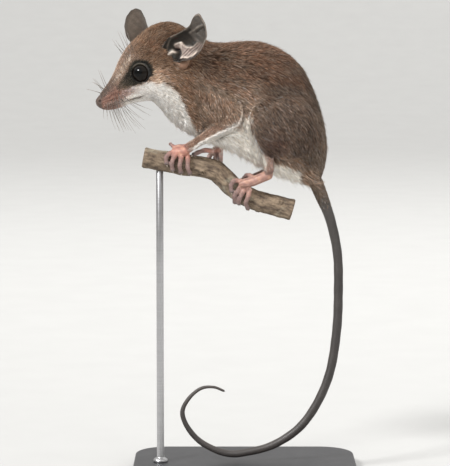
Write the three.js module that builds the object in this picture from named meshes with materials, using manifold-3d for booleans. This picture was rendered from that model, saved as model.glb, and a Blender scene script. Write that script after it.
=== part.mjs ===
// A mouse opossum crouched on a short cut branch, life-size, on a plain display stand.
// Millimetres. +Z is up, the head looks towards -X, and the animal's left side is towards -Y.
// The origin is the middle of the underside of the stand's base.
import * as THREE from 'three';
import { mergeVertices } from 'three/addons/utils/BufferGeometryUtils.js';
import Module from 'manifold-3d';

const wasm = await Module();
wasm.setup();

// Driving sizes
const gap = 0.3;                 // between two pieces that touch
const base = { length: 92, width: 64, thickness: 5, corner: 14, chamfer: 0.8 };
const rod = { radius: 1.5, x: -34.9, inPerch: 4 };
const perchRadius = 4.5;
const eyeRadius = 3.9;
const ear = { thickness: 1.0, cup: 2.8 };
const finger = { root: 0.95, tip: 0.7 };
const toe = { root: 1.05, tip: 0.78 };
const claw = { length: 1.0, radius: 0.3 };
const tail = { root: 2.7, shaft: 1.95, tip: 0.5, pieces: 8 };

const finishes = {
  coat: { color: 0x6a5143, roughness: 0.9, metalness: 0 },
  paleCoat: { color: 0xc9c3bd, roughness: 0.9, metalness: 0 },
  pinkSkin: { color: 0xb68f82, roughness: 0.6, metalness: 0 },
  earSkin: { color: 0x6a6158, roughness: 0.7, metalness: 0 },
  tailSkin: { color: 0x5a5552, roughness: 0.65, metalness: 0 },
  eye: { color: 0x0a0908, roughness: 0.08, metalness: 0 },
  bark: { color: 0x6b5a48, roughness: 0.85, metalness: 0 },
  standPaint: { color: 0x2a2a2c, roughness: 0.45, metalness: 0 },
  standSteel: { color: 0x8d8f92, roughness: 0.35, metalness: 1 },
};

const group = new THREE.Group();
const { lerp, clamp, degToRad } = THREE.MathUtils;
const vector = (p) => new THREE.Vector3(p[0], p[1], p[2]);
const joined = (shapes) => shapes.reduce((a, b) => a.add(b));
const without = (shape, others) => others.reduce((a, b) => a.subtract(b), shape);

function pointsOnly(geometry) {
  geometry.deleteAttribute('normal');
  geometry.deleteAttribute('uv');
  return mergeVertices(geometry, 1e-4);
}

function solid(geometry) {
  const merged = pointsOnly(geometry);
  return new wasm.Manifold(new wasm.Mesh({
    numProp: 3,
    vertProperties: new Float32Array(merged.attributes.position.array),
    triVerts: new Uint32Array(merged.index.array),
  }));
}

function addPart(name, shape, finish) {
  const mesh = shape.getMesh();
  const geometry = new THREE.BufferGeometry();
  geometry.setAttribute('position', new THREE.BufferAttribute(mesh.vertProperties, 3));
  geometry.setIndex(new THREE.BufferAttribute(mesh.triVerts, 1));
  geometry.computeVertexNormals();
  const part = new THREE.Mesh(geometry, new THREE.MeshStandardMaterial(finishes[finish]));
  part.name = name;
  group.add(part);
}

// The part of a shape on the side of a plane that its normal points to, half a gap clear of it.
function sideOf(shape, point, normal) {
  const n = vector(normal).normalize();
  return shape.trimByPlane(n.toArray(), n.dot(vector(point)) + gap / 2);
}

// Both sides of a thin cut. The first is the one that the normal points to.
function parted(shape, point, normal) {
  return [sideOf(shape, point, normal), sideOf(shape, point, normal.map((k) => -k))];
}

// A form carried along stations. Each station has its centre, a half-height vector up, a
// half-width vector side and a pear number, which above 0 widens the lower half of the section.
// The parallels of a sphere become the sections, and its poles close the two ends.
function form(stations, { sides = 12, rings = 12, from = 0, to = 1, grow = 0 } = {}) {
  const along = (key) => new THREE.CatmullRomCurve3(stations.map((s) => s[key]), false, 'catmullrom', 0.5);
  const [centre, up, side] = [along('centre'), along('up'), along('side')];
  const pears = new THREE.CatmullRomCurve3(
    stations.map((s) => new THREE.Vector3(s.pear ?? 0, 0, 0)), false, 'catmullrom', 0.5);
  const geometry = pointsOnly(new THREE.SphereGeometry(1, sides, rings + 1));
  const places = geometry.attributes.position;
  const turn = centre.getTangent(0.5).cross(up.getPoint(0.5)).dot(side.getPoint(0.5)) > 0 ? -1 : 1;
  for (let i = 0; i < places.count; i += 1) {
    const p = new THREE.Vector3().fromBufferAttribute(places, i);
    const row = Math.round((Math.acos(clamp(p.y, -1, 1)) / Math.PI) * (rings + 1));
    const t = lerp(from, to, clamp((row - 1) / (rings - 1), 0, 1));
    const place = centre.getPoint(t);
    if (row > 0 && row <= rings) {
      const angle = Math.atan2(p.z, p.x);
      const high = Math.sin(angle);
      const wide = turn * Math.cos(angle) * (1 - pears.getPoint(t).x * high);
      const upward = up.getPoint(t);
      const sideways = side.getPoint(t);
      place.addScaledVector(upward, high * (1 + grow / upward.length()));
      place.addScaledVector(sideways, wide * (1 + grow / sideways.length()));
    } else {
      const endwards = centre.getTangent(t).multiplyScalar(row === 0 ? -1 : 1);
      place.addScaledVector(endwards, grow);
    }
    places.setXYZ(i, place.x, place.y, place.z);
  }
  return solid(geometry);
}

// A limb, digit or tail: points [x, y, z, high, wide] along its middle, where wide is measured
// in the direction across and is the same as high where it isn't given.
function limb(points, across, settings) {
  const middles = points.map(vector);
  const stations = points.map((p, i) => {
    const ahead = middles[Math.min(i + 1, middles.length - 1)];
    const behind = middles[Math.max(i - 1, 0)];
    const tangent = ahead.clone().sub(behind).normalize();
    const side = vector(across).addScaledVector(tangent, -tangent.dot(vector(across))).normalize();
    const up = side.clone().cross(tangent).normalize();
    return {
      centre: middles[i],
      up: up.multiplyScalar(p[3]),
      side: side.multiplyScalar(p[4] ?? p[3]),
    };
  });
  return form(stations, settings);
}

// A piece of flesh as it is, and grown by the gap to cut its neighbours with.
const grown = (make) => ({ piece: make(0), cutter: make(gap) });

// The middle of the perch, a crooked length of branch in the plane y = 0
const perchMiddle = new THREE.CatmullRomCurve3(
  [[-41.5, 131.4], [-25.4, 128.4], [-12.3, 126.0], [0, 115.6], [19.5, 109.8]]
    .map(([x, z]) => new THREE.Vector3(x, 0, z)), false, 'catmullrom', 0.5);

// A place round the perch at x: degrees from its top towards the near side, off above its bark.
function aroundPerch(x, degrees, off) {
  let [low, high] = [0, 1];
  for (let i = 0; i < 30; i += 1) {
    const half = (low + high) / 2;
    if (perchMiddle.getPoint(half).x < x) low = half;
    else high = half;
  }
  const tangent = perchMiddle.getTangent(low);
  const angle = degToRad(degrees);
  return perchMiddle.getPoint(low)
    .addScaledVector(new THREE.Vector3(-tangent.z, 0, tangent.x), (perchRadius + off) * Math.cos(angle))
    .addScaledVector(new THREE.Vector3(0, -1, 0), (perchRadius + off) * Math.sin(angle));
}

// A digit along a row of points, with a small claw at its tip.
function digit(points, size, grow) {
  const last = points.length - 1;
  const shaft = points.map((p, i) => [p.x, p.y, p.z, lerp(size.root, size.tip, i / last)]);
  const direction = points[last].clone().sub(points[last - 1]).normalize();
  const tip = points[last].clone().addScaledVector(direction, 0.5 * size.tip);
  shaft.push([tip.x, tip.y, tip.z, 0.6 * size.tip]);
  const nail = new THREE.ConeGeometry(claw.radius + grow, claw.length + grow, 4);
  nail.applyQuaternion(new THREE.Quaternion().setFromUnitVectors(new THREE.Vector3(0, 1, 0), direction));
  nail.translate(...tip.addScaledVector(direction, 0.4 * claw.length).toArray());
  return limb(shaft, [1, 0, 0.2], { sides: 5, rings: 5, grow }).add(solid(nail));
}

// Stops [x, degrees, lift] of a digit that lies round the perch, on the far side where side is -1.
const gripping = (stops, size, side = 1) => (grow) => digit(
  stops.map(([x, degrees, lift]) => aroundPerch(x, side * degrees, size.root + gap + (lift ?? 0))), size, grow);
const lifted = (points, size) => (grow) => digit(points.map(vector), size, grow);

// Perch and stand
const perchStations = Array.from({ length: 9 }, (_, i) => {
  const tangent = perchMiddle.getTangent(i / 8);
  return {
    centre: perchMiddle.getPoint(i / 8),
    up: new THREE.Vector3(-tangent.z, 0, tangent.x).multiplyScalar(perchRadius),
    side: new THREE.Vector3(0, perchRadius, 0),
  };
});
const perch = grown((grow) => form(perchStations, { sides: 10, rings: 11, grow }));

const outline = new THREE.Shape();
const corner = base.corner - base.chamfer;
const [cornerX, cornerY] = [base.length / 2 - base.corner, base.width / 2 - base.corner];
outline.absarc(cornerX, -cornerY, corner, -Math.PI / 2, 0);
outline.absarc(cornerX, cornerY, corner, 0, Math.PI / 2);
outline.absarc(-cornerX, cornerY, corner, Math.PI / 2, Math.PI);
outline.absarc(-cornerX, -cornerY, corner, Math.PI, 1.5 * Math.PI);
const plate = new THREE.ExtrudeGeometry(outline, {
  depth: base.thickness - 2 * base.chamfer,
  bevelThickness: base.chamfer,
  bevelSize: base.chamfer,
  bevelSegments: 1,
  curveSegments: 4,
});
plate.translate(0, 0, base.chamfer);

const rodTop = aroundPerch(rod.x, 180, 0).z + rod.inPerch;
const upright = grown((grow) => {
  const bottom = base.thickness + gap - grow;
  const cylinder = new THREE.CylinderGeometry(rod.radius + grow, rod.radius + grow, rodTop + grow - bottom, 14);
  cylinder.rotateX(Math.PI / 2);
  cylinder.translate(rod.x, 0, (rodTop + grow + bottom) / 2);
  return solid(cylinder);
});

addPart('stand_base', solid(plate), 'standPaint');
addPart('stand_rod', upright.piece, 'standSteel');
addPart('perch', perch.piece.subtract(upright.cutter), 'bark');

// Eyes
const eyeball = (middle) => grown((grow) => {
  const sphere = new THREE.SphereGeometry(eyeRadius + grow, 12, 8);
  sphere.translate(...middle);
  return solid(sphere);
});
const eyes = { left: eyeball([-41.7, -11.7, 165.4]), right: eyeball([-45.2, 0.9, 165.4]) };

// Ears: a thin shell from its root to its tip, cupped towards the side that it opens to. Its two
// margins are [half-width, taper], the front one first, where a taper above 0 narrows the tip.
const earShell = ({ root, tip, opens, front, rear }) => grown((grow) => {
  const length = vector(tip).sub(vector(root));
  const out = vector(opens).addScaledVector(length, -vector(opens).dot(length) / length.lengthSq()).normalize();
  const across = length.clone().cross(out).normalize();
  const geometry = pointsOnly(new THREE.SphereGeometry(1, 12, 8));
  const places = geometry.attributes.position;
  for (let i = 0; i < places.count; i += 1) {
    const p = new THREE.Vector3().fromBufferAttribute(places, i);
    const [half, taper] = p.x > 0 ? rear : front;
    const wide = p.x * (half * (1 - taper * p.y) + grow);
    const bend = ear.cup * (1.25 * p.x * p.x + 0.25 * p.y * p.y - 0.3);
    const place = vector(root).addScaledVector(length, 0.5 + p.y * (0.5 + grow / length.length()));
    place.addScaledVector(across, wide).addScaledVector(out, p.z * (ear.thickness / 2 + grow) + bend);
    places.setXYZ(i, place.x, place.y, place.z);
  }
  return solid(geometry);
});
const ears = {
  left: earShell({
    root: [-30.2, -11.8, 170.9], tip: [-18.4, -16.4, 189.0], opens: [-0.3, -0.93, 0.1],
    front: [3.3, 1.7], rear: [9.6, -0.12],
  }),
  right: earShell({
    root: [-40.3, 4.4, 174.6], tip: [-45.3, 9.6, 191.6], opens: [-0.74, 0.67, 0.05],
    front: [7.2, 0.1], rear: [7.2, 0.1],
  }),
};

// Arms and hands. The near forearm reaches forwards and the far one stands more upright.
const arms = {
  left: {
    upper: [[-17.6, -8.6, 161.0, 7.4, 5.0], [-11.7, -11.8, 153.9, 6.8, 5.0], [-4.9, -13.4, 148.0, 4.7, 4.3],
      [-2.2, -13.4, 146.2, 2.2, 2.4]],
    lower: [[-2.6, -13.6, 148.8, 2.6], [-5.2, -13.4, 147.4, 4.3], [-11.2, -11.2, 143.2, 3.5],
      [-17.3, -8.2, 139.3, 2.35], [-22.2, -4.9, 136.4, 1.75], [-24.0, -3.8, 135.0, 1.75]],
    palm: [[-21.6, -4.8, 136.6, 1.7, 1.7], [-24.2, -3.7, 134.9, 1.9, 2.6], [-27.4, -2.9, 134.4, 1.9, 3.0],
      [-29.6, -2.6, 134.4, 1.3, 2.2]],
    across: [0, -0.75, -0.6],
    elbow: { at: [-5.2, -13.2, 148.3], normal: [0.09, -0.1, 0.99] },
    wrist: { at: [-22.2, -4.9, 136.4], normal: [-0.85, 0.5, -0.5] },
    digits: [
      lifted([[-28.0, -2.6, 135.0], [-29.6, -1.6, 136.2], [-30.5, -0.4, 136.9]], finger),
      gripping([[-28.6, 25], [-30.9, 50], [-32.0, 72], [-31.6, 92]], finger),
      gripping([[-28.0, 30], [-29.4, 60], [-29.8, 90], [-29.0, 116]], finger),
      gripping([[-26.3, 32], [-26.6, 62], [-26.5, 94], [-25.6, 121]], finger),
      gripping([[-24.2, 32], [-23.6, 62], [-23.3, 94], [-22.2, 119]], finger),
    ],
  },
  right: {
    upper: [[-17.0, 8.6, 161.0, 7.4, 5.0], [-9.0, 12.0, 156.6, 6.6, 5.0], [-1.4, 13.4, 153.4, 4.7, 4.3],
      [1.4, 13.4, 152.2, 2.2, 2.4]],
    lower: [[1.0, 13.6, 154.2, 2.6], [-0.9, 13.4, 152.4, 4.3], [-4.2, 11.4, 146.4, 3.5],
      [-7.0, 8.4, 141.2, 2.35], [-9.2, 5.8, 137.2, 1.75], [-10.0, 5.0, 135.8, 1.75]],
    palm: [[-9.4, 5.6, 137.0, 1.6, 1.7], [-10.6, 4.2, 135.2, 1.7, 2.2], [-12.0, 3.2, 133.8, 1.7, 2.6],
      [-13.0, 2.8, 133.0, 1.2, 2.0]],
    across: [0.6, -0.7, 0.2],
    elbow: { at: [-1.0, 13.0, 153.0], normal: [-0.5, 0.1, 0.86] },
    wrist: { at: [-9.2, 5.8, 137.2], normal: [-0.3, -0.3, -0.9] },
    digits: [
      lifted([[-11.7, 2.4, 134.0], [-11.5, 0.9, 132.9], [-11.3, -0.6, 131.9], [-11.2, -1.8, 131.1]], finger),
      lifted([[-13.0, 2.2, 133.8], [-16.4, 0.6, 134.2], [-19.4, -1.4, 133.4], [-21.0, -2.6, 132.6]], finger),
      gripping([[-14.6, 18, 2.9], [-15.6, 50, 0.9], [-15.4, 84], [-14.6, 112]], finger, -1),
      gripping([[-13.8, 22, 3.3], [-13.6, 54, 1.2], [-13.0, 88], [-12.2, 120]], finger, -1),
      gripping([[-13.2, 26, 3.8], [-12.0, 56, 1.4], [-10.6, 86], [-9.4, 114]], finger, -1),
    ],
  },
};

// Legs and feet. The far leg mirrors the near one, but its first toe keeps to its own side.
const mirror = (points) => points.map(([x, y, ...rest]) => [x, -y, ...rest]);
const nearLeg = {
  upper: [[27.4, -9.0, 143.6, 6.5, 4.0], [22.4, -11.6, 144.0, 11.8, 6.4], [15.6, -13.0, 144.2, 13.6, 6.8],
    [8.8, -13.6, 145.2, 10.6, 5.8], [4.8, -13.6, 147.0, 5.6, 4.0], [2.9, -13.6, 147.8, 2.2, 2.0]],
  lower: [[7.4, -13.6, 147.0, 4.0], [8.0, -12.8, 141.0, 4.4, 3.8], [8.9, -11.0, 133.8, 2.7],
    [9.5, -9.0, 128.4, 1.95], [9.8, -8.0, 125.6, 2.0]],
  sole: [[10.9, -7.8, 125.0, 1.2, 1.4], [9.7, -7.4, 125.0, 2.1, 1.9], [6.6, -6.4, 123.6, 1.75, 2.0],
    [3.0, -5.4, 122.2, 1.75, 2.5], [-0.6, -4.7, 121.2, 1.7, 2.9], [-2.2, -4.6, 120.6, 1.2, 2.2]],
};
const legs = {
  left: {
    ...nearLeg,
    ankle: { at: [9.6, -8.6, 127.4], normal: [-0.3, -0.2, -0.95] },
    digits: [
      lifted([[3.8, -4.2, 122.8], [2.0, -2.8, 124.1], [0.6, -1.2, 124.1], [-0.3, 0.2, 122.9]], toe),
      gripping([[-4.0, 42], [-6.0, 62], [-6.0, 86], [-4.6, 104]], toe),
      gripping([[-4.0, 44], [-3.8, 80], [-1.9, 112], [0.1, 136]], toe),
      gripping([[-2.9, 45], [-2.1, 80], [-0.2, 112], [1.6, 135]], toe),
      gripping([[-0.9, 48], [-0.1, 82], [1.8, 111], [3.8, 134]], toe),
    ],
  },
  right: {
    upper: mirror(nearLeg.upper),
    lower: mirror(nearLeg.lower),
    sole: mirror(nearLeg.sole),
    ankle: { at: [9.6, 8.6, 127.4], normal: [-0.3, 0.2, -0.95] },
    digits: [
      lifted([[4.0, 4.0, 122.2], [2.4, 3.2, 121.9], [0.8, 3.2, 122.2]], toe),
      gripping([[-3.8, 44], [-5.2, 68], [-5.0, 90], [-3.6, 114]], toe, -1),
      gripping([[-3.8, 48], [-3.4, 80], [-1.9, 112], [0.1, 136]], toe, -1),
      gripping([[-2.7, 49], [-2.1, 80], [-0.2, 112], [1.6, 135]], toe, -1),
      gripping([[-0.9, 52], [-0.1, 82], [1.8, 111], [3.8, 134]], toe, -1),
    ],
  },
};

function armOf({ upper, lower, palm, across, elbow, wrist, digits }, grow) {
  const whole = limb(upper, [0, 1, 0], { sides: 10, rings: 6, grow })
    .add(limb(lower, [0, 1, 0], { sides: 8, rings: 6, grow }));
  const [upperArm, belowElbow] = parted(whole, elbow.at, elbow.normal);
  const [, forearm] = parted(belowElbow, wrist.at, wrist.normal);
  const hand = joined([limb(palm, across, { sides: 8, rings: 5, grow }), ...digits.map((make) => make(grow))]);
  return { upperArm, forearm, hand: sideOf(hand, wrist.at, wrist.normal) };
}

function legOf({ upper, lower, sole, ankle, digits }, grow) {
  const thigh = limb(upper, [0, 1, 0], { sides: 12, rings: 6, grow });
  const [, shank] = parted(limb(lower, [0, 1, 0], { sides: 8, rings: 6, grow }), ankle.at, ankle.normal);
  const foot = joined([limb(sole, [0, 1, 0], { sides: 8, rings: 6, grow }), ...digits.map((make) => make(grow))]);
  return { thigh, shank, foot: sideOf(foot, ankle.at, ankle.normal) };
}

const sideNames = ['left', 'right'];
const limbCutters = [];
for (const name of sideNames) {
  const arm = armOf(arms[name], 0);
  const armCutter = armOf(arms[name], gap);
  const leg = legOf(legs[name], 0);
  const legCutter = legOf(legs[name], gap);
  addPart(`upper_arm_${name}`, arm.upperArm, 'coat');
  addPart(`forearm_${name}`, arm.forearm, 'coat');
  addPart(`hand_${name}`, arm.hand.subtract(perch.cutter), 'pinkSkin');
  addPart(`thigh_${name}`, leg.thigh, 'coat');
  addPart(`shank_${name}`, leg.shank.subtract(legCutter.thigh), 'coat');
  addPart(`foot_${name}`, leg.foot.subtract(perch.cutter), 'pinkSkin');
  limbCutters.push(armCutter.upperArm, armCutter.forearm, armCutter.hand, legCutter.thigh, legCutter.shank);
}

// Tail: hangs from the rump in a long curve that ends in a hook, in the plane y = 0
const tailPoints = [[28.4, 122.6, tail.root], [31.6, 114.8, 2.45], [35.2, 105.0, 2.1], [38.0, 91.2, tail.shaft],
  [38.4, 75.0, tail.shaft], [37.8, 60.0, tail.shaft], [35.3, 43.4, 1.9], [30.2, 30.2, 1.85],
  [22.8, 19.6, 1.8], [12.9, 12.6, 1.7], [3.0, 9.4, 1.6], [-7.0, 8.4, 1.5], [-16.9, 12.4, 1.3],
  [-23.0, 18.4, 1.15], [-25.8, 25.4, 1.0], [-23.4, 31.2, 0.85], [-18.4, 35.6, 0.72], [-13.0, 36.3, 0.6],
  [-8.2, 34.5, tail.tip]];
const tailStations = tailPoints.map(([x, z, radius], i) => {
  const ahead = tailPoints[Math.min(i + 1, tailPoints.length - 1)];
  const behind = tailPoints[Math.max(i - 1, 0)];
  const tangent = new THREE.Vector3(ahead[0] - behind[0], 0, ahead[1] - behind[1]).normalize();
  return {
    centre: new THREE.Vector3(x, 0, z),
    up: new THREE.Vector3(-tangent.z, 0, tangent.x).multiplyScalar(radius),
    side: new THREE.Vector3(0, radius, 0),
  };
});
const tailLine = new THREE.CatmullRomCurve3(tailStations.map((s) => s.centre), false, 'catmullrom', 0.5);
const tailPath = tailLine.getLength();
for (let i = 0; i < tail.pieces; i += 1) {
  const from = i / tail.pieces;
  const to = (i + 1) / tail.pieces - (i + 1 < tail.pieces ? gap / tailPath : 0);
  const settings = { sides: 8, rings: 6, from: tailLine.getUtoTmapping(from), to: tailLine.getUtoTmapping(to) };
  addPart(`tail_${i + 1}`, form(tailStations, settings), 'tailSkin');
}
const tailCutter = form(tailStations, { sides: 8, rings: 6, to: tailLine.getUtoTmapping(1 / tail.pieces), grow: gap });

// Head, neck and trunk: each section lies between a point of the back and a point of the belly,
// both [x, z], with its middle at y. half is its half-width out to the coat's tips, and turn is
// how far it is turned towards the near side, in degrees.
const sections = [
  { back: [-60.2, 155.4], belly: [-59.9, 152.9], y: -9.2, half: 1.5, turn: 16 },
  { back: [-58.6, 157.6], belly: [-57.9, 151.4], y: -8.8, half: 2.9, turn: 16, pear: 0.1 },
  { back: [-56.6, 160.4], belly: [-54.3, 151.1], y: -8.1, half: 3.9, turn: 16, pear: 0.15 },
  { back: [-54.6, 163.4], belly: [-50.6, 151.9], y: -7.3, half: 4.9, turn: 15, pear: 0.2 },
  { back: [-52.6, 167.4], belly: [-47.0, 153.3], y: -6.6, half: 6.2, turn: 15, pear: 0.2 },
  { back: [-50.6, 172.0], belly: [-42.6, 154.2], y: -5.8, half: 7.8, turn: 14, pear: 0.15 },
  { back: [-47.8, 176.6], belly: [-37.8, 154.6], y: -4.9, half: 9.9, turn: 12, pear: 0.15 },
  { back: [-44.4, 180.2], belly: [-34.6, 152.1], y: -4.0, half: 11.8, turn: 10, pear: 0.2 },
  { back: [-37.6, 185.4], belly: [-32.2, 149.0], y: -2.6, half: 12.8, turn: 7, pear: 0.2 },
  { back: [-29.7, 186.8], belly: [-27.0, 144.0], y: -1.3, half: 12.9, turn: 4, pear: 0.15 },
  { back: [-22.4, 183.2], belly: [-21.3, 140.9], y: -0.5, half: 13.4, turn: 2, pear: 0.1 },
  { back: [-15.0, 179.0], belly: [-15.4, 137.6], y: 0, half: 14.6, turn: 0, pear: 0.1 },
  { back: [-7.2, 178.3], belly: [-8.3, 135.4], y: 0, half: 15.6, turn: 0, pear: 0.1 },
  { back: [1.3, 179.2], belly: [-0.6, 131.7], y: 0, half: 16.3, turn: 0, pear: 0.08 },
  { back: [8.4, 178.2], belly: [5.2, 128.3], y: 0, half: 16.4, turn: 0, pear: 0.05 },
  { back: [15.4, 175.0], belly: [10.2, 125.4], y: 0, half: 16.0, turn: 0 },
  { back: [21.7, 169.8], belly: [15.0, 123.3], y: 0, half: 15.2, turn: 0 },
  { back: [26.3, 161.8], belly: [19.8, 121.9], y: 0, half: 14.0, turn: 0 },
  { back: [29.9, 152.4], belly: [23.6, 120.9], y: 0, half: 12.4, turn: 0 },
  { back: [32.4, 142.6], belly: [26.4, 119.9], y: 0, half: 10.2, turn: 0 },
  { back: [33.1, 134.0], belly: [28.0, 119.5], y: 0, half: 7.4, turn: 0 },
  { back: [31.8, 125.6], belly: [29.4, 119.3], y: 0, half: 3.4, turn: 0 },
];
const body = form(sections.map(({ back, belly, y, half, turn, pear }) => ({
  centre: new THREE.Vector3((back[0] + belly[0]) / 2, y, (back[1] + belly[1]) / 2),
  up: new THREE.Vector3((back[0] - belly[0]) / 2, 0, (back[1] - belly[1]) / 2),
  side: new THREE.Vector3(-Math.sin(degToRad(turn)), Math.cos(degToRad(turn)), 0).multiplyScalar(half),
  pear,
})), { sides: 18, rings: sections.length });

// Thin cuts across the body, from the nose backwards, each through a point of the back and one of the belly
function cutAcross(shape, back, belly) {
  const normal = [back[1] - belly[1], 0, belly[0] - back[0]];
  return parted(shape, [back[0], 0, back[1]], normal);
}
const [fromHead, nose] = cutAcross(body, [-59.0, 157.0], [-58.4, 152.0]);
const [fromNeck, wholeHead] = cutAcross(fromHead, [-24.2, 184.4], [-23.4, 142.0]);
const [fromChest, neck] = cutAcross(fromNeck, [-14.6, 179.0], [-15.2, 137.6]);
const [fromBelly, chest] = cutAcross(fromChest, [0.4, 179.2], [-1.2, 131.8]);
const [rump, belly] = cutAcross(fromBelly, [17.0, 174.0], [11.4, 124.8]);

// The lower jaw lies below the mouth line, in front of the corner of the mouth.
const mouth = { corner: [-41.0, -6, 157.1], rise: 17.5, size: 40 };
function belowMouth(grow) {
  const block = new THREE.BoxGeometry(mouth.size + 2 * grow, mouth.size + 2 * grow, mouth.size + 2 * grow);
  block.translate(-mouth.size / 2, 0, -mouth.size / 2);
  block.rotateY(-degToRad(mouth.rise));
  block.translate(...mouth.corner);
  return solid(block);
}
const organs = [eyes.left.cutter, eyes.right.cutter, ears.left.cutter, ears.right.cutter];
addPart('nose', nose, 'pinkSkin');
addPart('jaw', wholeHead.intersect(belowMouth(0)), 'paleCoat');
addPart('head', without(wholeHead, [belowMouth(gap), ...organs]), 'coat');
addPart('neck', without(neck, [...organs, ...limbCutters]), 'coat');
addPart('chest', without(chest, limbCutters), 'coat');
addPart('belly', without(belly, limbCutters), 'coat');
addPart('rump', without(rump, [...limbCutters, tailCutter]), 'coat');
for (const name of sideNames) {
  addPart(`eye_${name}`, eyes[name].piece, 'eye');
  addPart(`ear_${name}`, ears[name].piece, 'earSkin');
}

export default group;
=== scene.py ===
import math

import bpy
import numpy as np
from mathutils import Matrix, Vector
from mathutils.bvhtree import BVHTree
from mathutils.kdtree import KDTree


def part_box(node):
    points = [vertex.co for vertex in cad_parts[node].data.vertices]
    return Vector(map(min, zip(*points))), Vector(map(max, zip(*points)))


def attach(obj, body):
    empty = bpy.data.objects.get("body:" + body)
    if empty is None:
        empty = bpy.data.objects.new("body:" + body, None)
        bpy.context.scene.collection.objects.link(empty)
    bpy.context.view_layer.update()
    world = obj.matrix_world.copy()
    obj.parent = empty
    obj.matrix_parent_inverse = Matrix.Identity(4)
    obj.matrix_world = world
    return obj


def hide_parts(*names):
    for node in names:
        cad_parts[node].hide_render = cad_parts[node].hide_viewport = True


# A mouse opossum on a cut branch and a plain stand. Shapes are worked out in millimetres in the
# frame's own axes (+Z up, the head towards -X, the left side towards -Y) and put into meshes in metres.
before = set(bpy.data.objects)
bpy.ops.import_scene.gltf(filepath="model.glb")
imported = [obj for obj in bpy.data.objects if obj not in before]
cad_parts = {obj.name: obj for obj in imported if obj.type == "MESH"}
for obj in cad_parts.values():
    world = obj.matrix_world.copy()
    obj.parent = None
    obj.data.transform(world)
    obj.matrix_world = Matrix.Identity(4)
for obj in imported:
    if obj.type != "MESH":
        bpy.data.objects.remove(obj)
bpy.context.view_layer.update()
mm = 0.001
fullTurn = 2 * math.pi
chance = np.random.default_rng(7)
print("frame loaded:", len(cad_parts), "nodes")


# Small helpers

# Screen colours from 0 to 255 as the linear light that Blender mixes.
def linear(colours):
    share = np.asarray(colours, float) / 255
    return np.where(share <= 0.04045, share / 12.92, ((share + 0.055) / 1.055) ** 2.4)


# A screen colour as a shader's own colour.
def shaderColour(red, green, blue):
    return tuple(linear((red, green, blue))) + (1,)


# 0 below low, 1 above high and 3t squared less 2t cubed between. low may be the larger one.
def ease(x, low, high):
    t = np.clip((x - low) / (high - low), 0, 1)
    return t * t * (3 - 2 * t)


# A bell: e to the minus squared distance from the middle in widths.
def bump(x, middle, width):
    return np.exp(-((x - middle) / width) ** 2)


# Evenly from low to high as x goes from 0 to 1.
def level(x, low, high):
    return low + (high - low) * x


# A share of another colour laid over the colours.
def blend(colours, other, share):
    return colours + (np.asarray(other, float) - colours) * np.asarray(share)[..., None]


def unit(vectors):
    return vectors / np.maximum(np.linalg.norm(vectors, axis=-1, keepdims=True), 1e-9)


def dot(a, b):
    return (a * b).sum(-1)


# Angles evenly round a circle.
def anglesRound(count, start=0.0):
    return np.linspace(start, start + fullTurn, count, False)


# A smooth line through the knots, s counting them from 0: between two knots a cubic that
# leaves each one in the direction from the knot before it to the knot after it.
def spline(knots, s):
    knots = np.asarray(knots, float)
    s = np.asarray(s, float)
    ends = [[2 * knots[0] - knots[1]], knots, [2 * knots[-1] - knots[-2]]]
    padded = np.concatenate(ends)
    i = np.clip(np.floor(s).astype(int), 0, len(knots) - 2)
    w = (s - i).reshape(s.shape + (1,) * (knots.ndim - 1))
    a, b, c, d = padded[i], padded[i + 1], padded[i + 2], padded[i + 3]
    return b + 0.5 * w * (c - a + w * (2 * a - 5 * b + 4 * c - d + w * (3 * (b - c) + d - a)))


# The distance along a line of points to each of them.
def lengthsAlong(line):
    steps = np.linalg.norm(np.diff(line, axis=0), axis=-1)
    return np.concatenate([[0], np.cumsum(steps)])


# Signed distance of flat points from a broken line, positive on its left, and the share along.
def lineDistance(points, knots):
    knots = np.array(knots, float)
    best = np.full(len(points), 1e9)
    signed, share = np.zeros(len(points)), np.zeros(len(points))
    for i in range(len(knots) - 1):
        a, way = knots[i], knots[i + 1] - knots[i]
        t = np.clip(((points - a) @ way) / (way @ way), 0, 1)
        off = points - a - t[:, None] * way
        d = np.linalg.norm(off, axis=-1)
        side = np.sign(way[0] * off[:, 1] - way[1] * off[:, 0] + 1e-12)
        near = d < best
        signed = np.where(near, d * side, signed)
        share = np.where(near, (i + t) / (len(knots) - 1), share)
        best = np.where(near, d, best)
    return signed, share


# A smooth wander, mostly between -1 and 1: a third of the sum of six sine waves of nearly one
# size, which run in directions drawn once from the seed.
def wavering(places, size, seed):
    draw = np.random.default_rng(seed)
    total = 0
    for i in range(6):
        direction = unit(draw.normal(size=3))
        length = size * draw.uniform(0.7, 1.5)
        total = total + np.sin((places @ direction) * fullTurn / length + draw.uniform(0, 7))
    return total / 3


# A tree that finds the nearest of the points.
def treeOf(points):
    tree = KDTree(len(points))
    for i, point in enumerate(points.tolist()):
        tree.insert(point, i)
    tree.balance()
    return tree


# Meshes

# Faces of a grid of points whose rows are closed rings.
def gridQuads(rows, columns):
    i, j = np.meshgrid(np.arange(rows - 1), np.arange(columns), indexing="ij")
    k = (j + 1) % columns
    corners = [i * columns + j, i * columns + k, (i + 1) * columns + k, (i + 1) * columns + j]
    return np.stack(corners, -1).reshape(-1, 4)


# Rings of points: middle + radius (one cos(angle) + other sin(angle)), with a radius for each
# ring or for each of its points.
def ringsRound(middle, radius, one, other, angle):
    one, other = (np.broadcast_to(way, middle.shape)[:, None, :] for way in (one, other))
    way = one * np.cos(angle)[:, None] + other * np.sin(angle)[:, None]
    radius = np.asarray(radius, float).reshape(len(middle), -1)
    return middle[:, None, :] + way * radius[..., None]


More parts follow.
